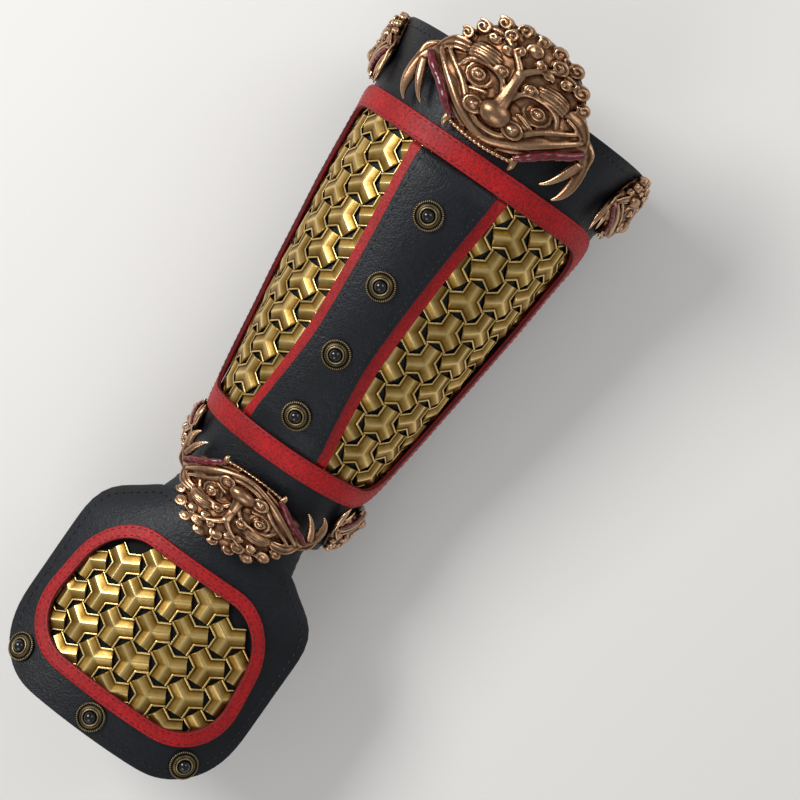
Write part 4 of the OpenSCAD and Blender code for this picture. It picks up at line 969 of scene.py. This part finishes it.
def cast_head(kx, ky, kz, kr, voxel):
    """A head about (0, 0, 0) in millimetres, mouth towards +x, as a mesh whose attribute holds patina in its
    hollows, rubbed bright bulges and painted shade near its foot.
    """
    bm = bmesh.new()
    rolls = []

    def ball(x, y, z, rx, ry=None, rz=None, turn=0.0):
        size = Matrix.Diagonal((rx, ry or rx, rz or rx, 1))
        spot = Matrix.Translation((x * kx, y * ky, z * kz)) @ Matrix.Rotation(turn, 4, "Z") @ size
        bmesh.ops.create_icosphere(bm, subdivisions=3 if rx > 4 else 2, radius=1, matrix=spot)

    def mass(x, y, z, rx, ry, rz, turn=0.0):
        ball(x, y, z, rx * kx, ry * ky, rz * kz, turn)

    def rope(points, m=1, steps=4):
        """A smooth tapering roll through (x, y, z, r) points, on side m."""
        rolls.append(smooth_path([(x, y * m, z, r) for x, y, z, r in points], steps))

    def curl(x, y, z, big, r, start, hand=1):
        """One and a half turns of a roll, winding inwards and rising."""
        points = []
        for i in range(14):
            f = i / 13
            a = start + hand * 2 * math.pi * 1.5 * f
            reach = big * (1 - 0.82 * f) * kr
            spot = (x + reach * math.cos(a) / kx, y + reach * math.sin(a) / ky)
            points.append((*spot, z + 0.8 * f, r * (1 - 0.25 * f)))
        rope(points, steps=2)

    def ring(x, y, z, big, r):
        reach = big * kr
        angles = [2 * math.pi * i / 12 for i in range(13)]
        rope([(x + reach * math.cos(a) / kx, y + reach * math.sin(a) / ky, z, r) for a in angles], steps=1)

    # The skull, the muzzle, the collar and the back of the head.
    mass(-7, 0, 0.5, 22.5, 26, 12.2)
    mass(10, 0, 1.5, 15, 17, 11)
    mass(-2, 0, 0, 27, 31, 4.6)
    mass(-18, 0, 1, 10.5, 20, 8.2)
    # The front lip with its row of beads, the nose with its bridge, and two curls on the crown.
    rope([(25, -13, 3, 2.4), (26, 0, 3.4, 2.6), (25, 13, 3, 2.4)])
    for i in range(14):
        q = -13 + 2 * i
        ball(27.3 - 0.009 * q * q, q, 5.4, 1.12 * kr)
    mass(12.0, 0, 11.6, 6.0, 6.2, 5.6)
    rope([(9, 0, 12.6, 3.6), (4, 0, 12.0, 3.0), (-3, 0, 12.2, 2.3), (-8.5, 0, 13.0, 2.3)])
    curl(-20.5, 0, 10.2, 3.0, 1.0, 1.0)
    ball(-20.5, 0, 8.8, 3.2 * kr)
    ball(-26, 0, 5.0, 3.4 * kr)
    curl(-26, 0, 7.6, 2.6, 0.75, 2.0)
    for m in (1, -1):
        for points in side_rolls:
            rope(points, m)
        for x, y, z, big, r in side_rings:
            ring(x, y * m, z, big, r)
        for x, y, z, r in side_balls:
            ball(x, y * m, z, r * kr)
        mass(5, 19 * m, 0, 12.5, 14, 10.6, -0.5 * m)
        mass(-3, 24 * m, 0, 9, 9, 8.0)
        mass(-7.4, 13.0 * m, 8.8, 5.2, 7.6, 4.6)
        for i in range(6):
            x, rib = 1.45 * (i - 2.5), []
            for k in range(9):
                y = 6.6 * (k / 4 - 1)
                rise = math.sqrt(max(1 - (x / 5.2) ** 2 - (y / 7.6) ** 2, 0))
                rib.append((x - 7.4 + 0.03 * y * y, y + 13.0, 8.9 + 4.6 * rise, 0.62))
            rope(rib, m, steps=1)
        for x, y, z, r in crown_curls:
            ball(x, y * m, z - 1.2, r * kr)
            curl(x, y * m, z + 0.9 * r * kr - 1.4, r * 0.82, 0.62, 0.8 + x, m)
        # Three wrinkles beside the nose, and three whiskers at the tusks' root.
        for k in range(3):
            rope([(6.4 + 2.3 * k, 6.6 - 0.6 * k, 11.6, 0.8), (8.6 + 1.9 * k, 12.5 - 0.9 * k, 10.4, 0.9),
                  (9.4 + 1.5 * k, 17.5 - 1.4 * k, 9.4, 0.5)], m)
            rope([(-2 - 2 * k, 34 - 1.6 * k, 2.6, 1.5), (2 + 4 * k, 38.6 + 0.5 * k, 5.4, 0.9),
                  (9 + 4.5 * k, 39.6 + 0.2 * k, 6.2 - 0.5 * k, 0.4)], m)
    curve = bpy.data.curves.new("rolls", "CURVE")
    curve.dimensions = "3D"
    curve.bevel_depth = 1
    curve.bevel_resolution = 2
    curve.use_fill_caps = True
    for roll in rolls:
        spline = curve.splines.new("POLY")
        spline.points.add(len(roll) - 1)
        for point, (x, y, z, r) in zip(spline.points, roll):
            point.co = (x * kx, y * ky, z * kz, 1)
            point.radius = max(r, 0.25) * kr
    rolled = evaluated_mesh(add_object("rolls", curve))
    bm.from_mesh(rolled)
    bpy.data.curves.remove(curve)
    bpy.data.meshes.remove(rolled)
    rough = as_mesh("rough_head", bm)
    rough_head = add_object("rough_head", rough)
    fuse = rough_head.modifiers.new("fuse", "REMESH")
    fuse.mode = "VOXEL"
    fuse.voxel_size = voxel
    soften = rough_head.modifiers.new("soften", "SMOOTH")
    soften.factor = 0.5
    soften.iterations = 2
    fused = evaluated_mesh(rough_head)
    bpy.data.meshes.remove(rough)
    bm = bmesh.new()
    bm.from_mesh(fused)
    cut_below(bm, 0.02)
    bmesh.ops.triangulate(bm, faces=[f for f in bm.faces if len(f.verts) > 4])
    wear_and_shade = bm.verts.layers.float.new("wear_and_shade")
    bm.normal_update()
    shape = [(v.co.copy(), v.normal.copy()) for v in bm.verts]
    every_axis = {"use_axis_x": True, "use_axis_y": True, "use_axis_z": True}
    for _ in range(9):
        bmesh.ops.smooth_vert(bm, verts=bm.verts, factor=0.6, **every_axis)
    # The hollows, found by smoothing, are left dark with patina and the bulges rubbed bright. The lowest 4.5
    # mm of the casting, next to the leather, is also painted darker as shade, down to about a third of the
    # value at its foot.
    for v, (co, normal) in zip(bm.verts, shape):
        hollow = (v.co - co).dot(normal) / kr
        v[wear_and_shade] = min(max(0.5 - hollow * 1.5, 0), 1) * (0.35 + 0.65 * min(1, co.z / (4.5 * kz)))
        v.co = co
    bm.to_mesh(fused)
    bm.free()
    return fused


def gum_rolls(kx, ky, kz, kr):
    """The painted rolls of gum along both sides of the mouth."""
    ends = [(4.2, 35.2), (9.2, 29.4), (14.2, 24.0), (19.0, 18.8), (23.6, 14.2)]
    angles = [2 * math.pi * j / 18 for j in range(18)]
    parts = []
    for m in (1, -1):
        side = Vector((19.4 * kx, -21 * m * ky, 0)).normalized().cross(Vector((0, 0, 1)))
        rings = []
        for i in range(45):
            f = i / 44
            k = min(int(f * 4), 3)
            x, y = (mix(a, b, f * 4 - k) for a, b in zip(ends[k], ends[k + 1]))
            swell = math.sin(math.pi * min(max(f, 0.04), 0.96)) ** 0.22
            r = kr * (2.1 * swell + 0.14 * math.sin(f * 37))
            z = (6.9 + 1.2 * math.sin(math.pi * f)) * kz
            middle = Vector((x * kx + 0.5 * math.sin(f * 9), y * m * ky, z))
            places = [middle + side * (r * math.cos(t)) + Vector((0, 0, r * math.sin(t))) for t in angles]
            rings.append([(place, 0.0) for place in places])
        parts.append(loft(rings, False))
    return as_mesh("gums", joined(parts))


bronze = metal("cast_rose_bronze", "cast_bronze", "110705", "6C4830", "E8BC94", 0.18, 0.5, 0.25, spread=0.2)
lacquer, tree, shader = new_material("maroon_lacquer")
brushed = cloud(tree, 300.0, Detail=4.0, Distortion=0.6)
sources = {
    "Base Color": ramp(tree, brushed, [(0.3, "4A0A12"), (0.7, "7C1A26")]),
    "Roughness": to_range(tree, brushed, 0.18, 0.38),
    "Normal": bumps(tree, brushed, 0.3, 0.0003),
}
wire(tree, shader, sources, Coat_Weight=0.5)
elbow_form, wrist_form = (1, 1, 1, 1), (0.67, 0.86, 0.8, 0.78)
elbow_curve, wrist_curve = 76, 50


def seat_head(name, casting, gums, scale, s0, deg, mouth, curve, shift=0):
    """Bends a casting and its gums onto the arm at s0 and deg, scaled about its seat."""
    for mesh, kind, finish in ((casting, "", bronze), (gums, "_gums", (lacquer, "cast_bronze"))):
        bm = bmesh.new()
        bm.from_mesh(mesh)
        for v in bm.verts:
            x, y, z = v.co * scale
            s = s0 + mouth * (x + shift)
            seat = frame_h + max(-s, 0) * 0.5 + y * y * max(1 / arm_r(s) - 1 / curve, 0) / 2
            v.co = on_arm(s, deg + math.degrees(y / arm_r(s0)), seat + max(z, 0))
        bmesh.ops.recalc_face_normals(bm, faces=bm.faces)
        stands = () if kind else (name,)
        finish_piece(name.replace("head", "beast") + kind, bm, finish, "forearm", *stands)


elbow_casting, elbow_gums = cast_head(*elbow_form, voxel=0.42), gum_rolls(*elbow_form)
side_casting = cast_head(*elbow_form, voxel=0.62)
wrist_casting, wrist_gums = cast_head(*wrist_form, voxel=0.36), gum_rolls(*wrist_form)
wrist_side_casting = cast_head(*wrist_form, voxel=0.52)
seat_head("elbow_head_center", elbow_casting, elbow_gums, 1, 237.5, 0, -1, elbow_curve)
for name, deg in (("left", 88), ("right", -88)):
    seat_head("elbow_head_" + name, side_casting, elbow_gums, 0.62, 226.1, deg, -1, elbow_curve)
seat_head("wrist_head_center", wrist_casting, wrist_gums, 1, 2, 0, 1, wrist_curve, shift=-1)
for name, deg in (("left", 100), ("right", -100)):
    seat_head("wrist_head_" + name, wrist_side_casting, wrist_gums, 0.74, 16.2, deg, 1, wrist_curve)
castings = (elbow_casting, side_casting, wrist_casting, wrist_side_casting)
for used in (*castings, elbow_gums, wrist_gums, one_scale):
    bpy.data.meshes.remove(used)

# Three straps close the back. Each is a length of smooth strap leather, riveted to one side, that
# goes through a centre-bar buckle and under a keeper; its cut edges are bevelled and burnished.
closures = (("wrist", 44), ("middle", 122), ("elbow", 214))
chape_h, keeper_t, keeper_top = frame_h, 1.4, 9.2
strap_path = [(-46, 0), (-38, 0), (-30, 0), (-22, 0), (-15, 2.7), (-8, 2.7), (0, 2.7), (7, 2.7)]
strap_path += [(11.5, 3.4), (16, 3.9), (21, 3.9), (33, 3.9), (44, 3.9)]


def on_back(s, w, h):
    """As on_arm, with w in millimetres from the middle of the back."""
    return on_arm(s, 180 - math.degrees(w / arm_r(s)), h)


for name, s in closures:
    rings = []
    for w, h in smooth_path([(w, chape_h + h) for w, h in strap_path], 5):
        tip = min(1.0, 0.45 + 0.55 * (1 - max(0, w - 36) / 8) ** 0.5) if w > 36 else 1.0
        section = edge_profile(-9, 9, 0, strap_t, 0.55, 8)
        rings.append([(on_back(s + x * tip, w, h + z), rub) for x, z, rub in section])
    finish_piece(name + "_strap_leather", loft(rings, False), strap_leather, "forearm", name + "_strap")
    lines = [[(w, x) for w in range(-44, -18, 2)] for x in (-7.3, 7.3)]
    stitches(name + "_strap_stitches", (black_thread, "strap_leather"), "forearm",
             lambda w, x, h, s=s: on_back(s + x, w, h), lines, chape_h + strap_t, strap_gauge)

# The keepers are closed loops of the same leather, sewn under the strap's free end.
parts = []
for name, s in closures:
    rings = []
    for w, g, rub in edge_profile(31, 38, 0, keeper_t, keeper_t * 0.35, 5):
        r = 0.9 + g
        loop = rounded_loop(-9.6 - g, 9.6 + g, chape_h + keeper_t - g, keeper_top + g, r, r, 10, 4, 5)
        rings.append([(on_back(s + x, w, h), rub) for x, h in loop])
    parts.append(loft(rings, True))
finish_piece("strap_keeper_loops", joined(parts), strap_leather, "forearm", "strap_keepers")


def dress(node, finish, ease_mm):
    """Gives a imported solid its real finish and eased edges."""
    piece = nodes[node]
    piece.data.materials.clear()
    piece.data.materials.append(finish[0])
    eased = piece.modifiers.new("eased_edges", "BEVEL")
    eased.width = ease_mm / 1000
    eased.segments = 3
    eased.limit_method = "ANGLE"
    eased.angle_limit = math.radians(38)
    eased.harden_normals = False


# The buckles are cast brass, filed and polished; the chapes fold the strap leather round their bars.
brasses = ("5C4218", "B08A44", "E6C88A")
buckle_brass = metal("polished_buckle_brass", "buckle_brass", *brasses, 0.18, 0.35, 0.12, 0.5)
rivet_brass = metal("plain_rivet_brass", "brass_rivets", "4A3414", "93703A", "CDAE76", 0.28, 0.4, 0.15, 0.45)
plain_steel = metal("plain_steel_posts", "steel_posts", "4A4844", "8C8880", "C8C4BC", 0.3, 0.5, 0.1)
for name, _ in closures:
    dress(name + "_buckle_frame", buckle_brass, 0.35)
    dress(name + "_buckle_prong", buckle_brass, 0.2)
    dress(name + "_chape", strap_leather, 0.25)
for name in ("strap_rivets", "elbow_head_rivets", "wrist_head_rivets"):
    dress(name, rivet_brass, 0.2)
for name in ("strip_posts", "guard_posts"):
    dress(name, plain_steel, 0.2)
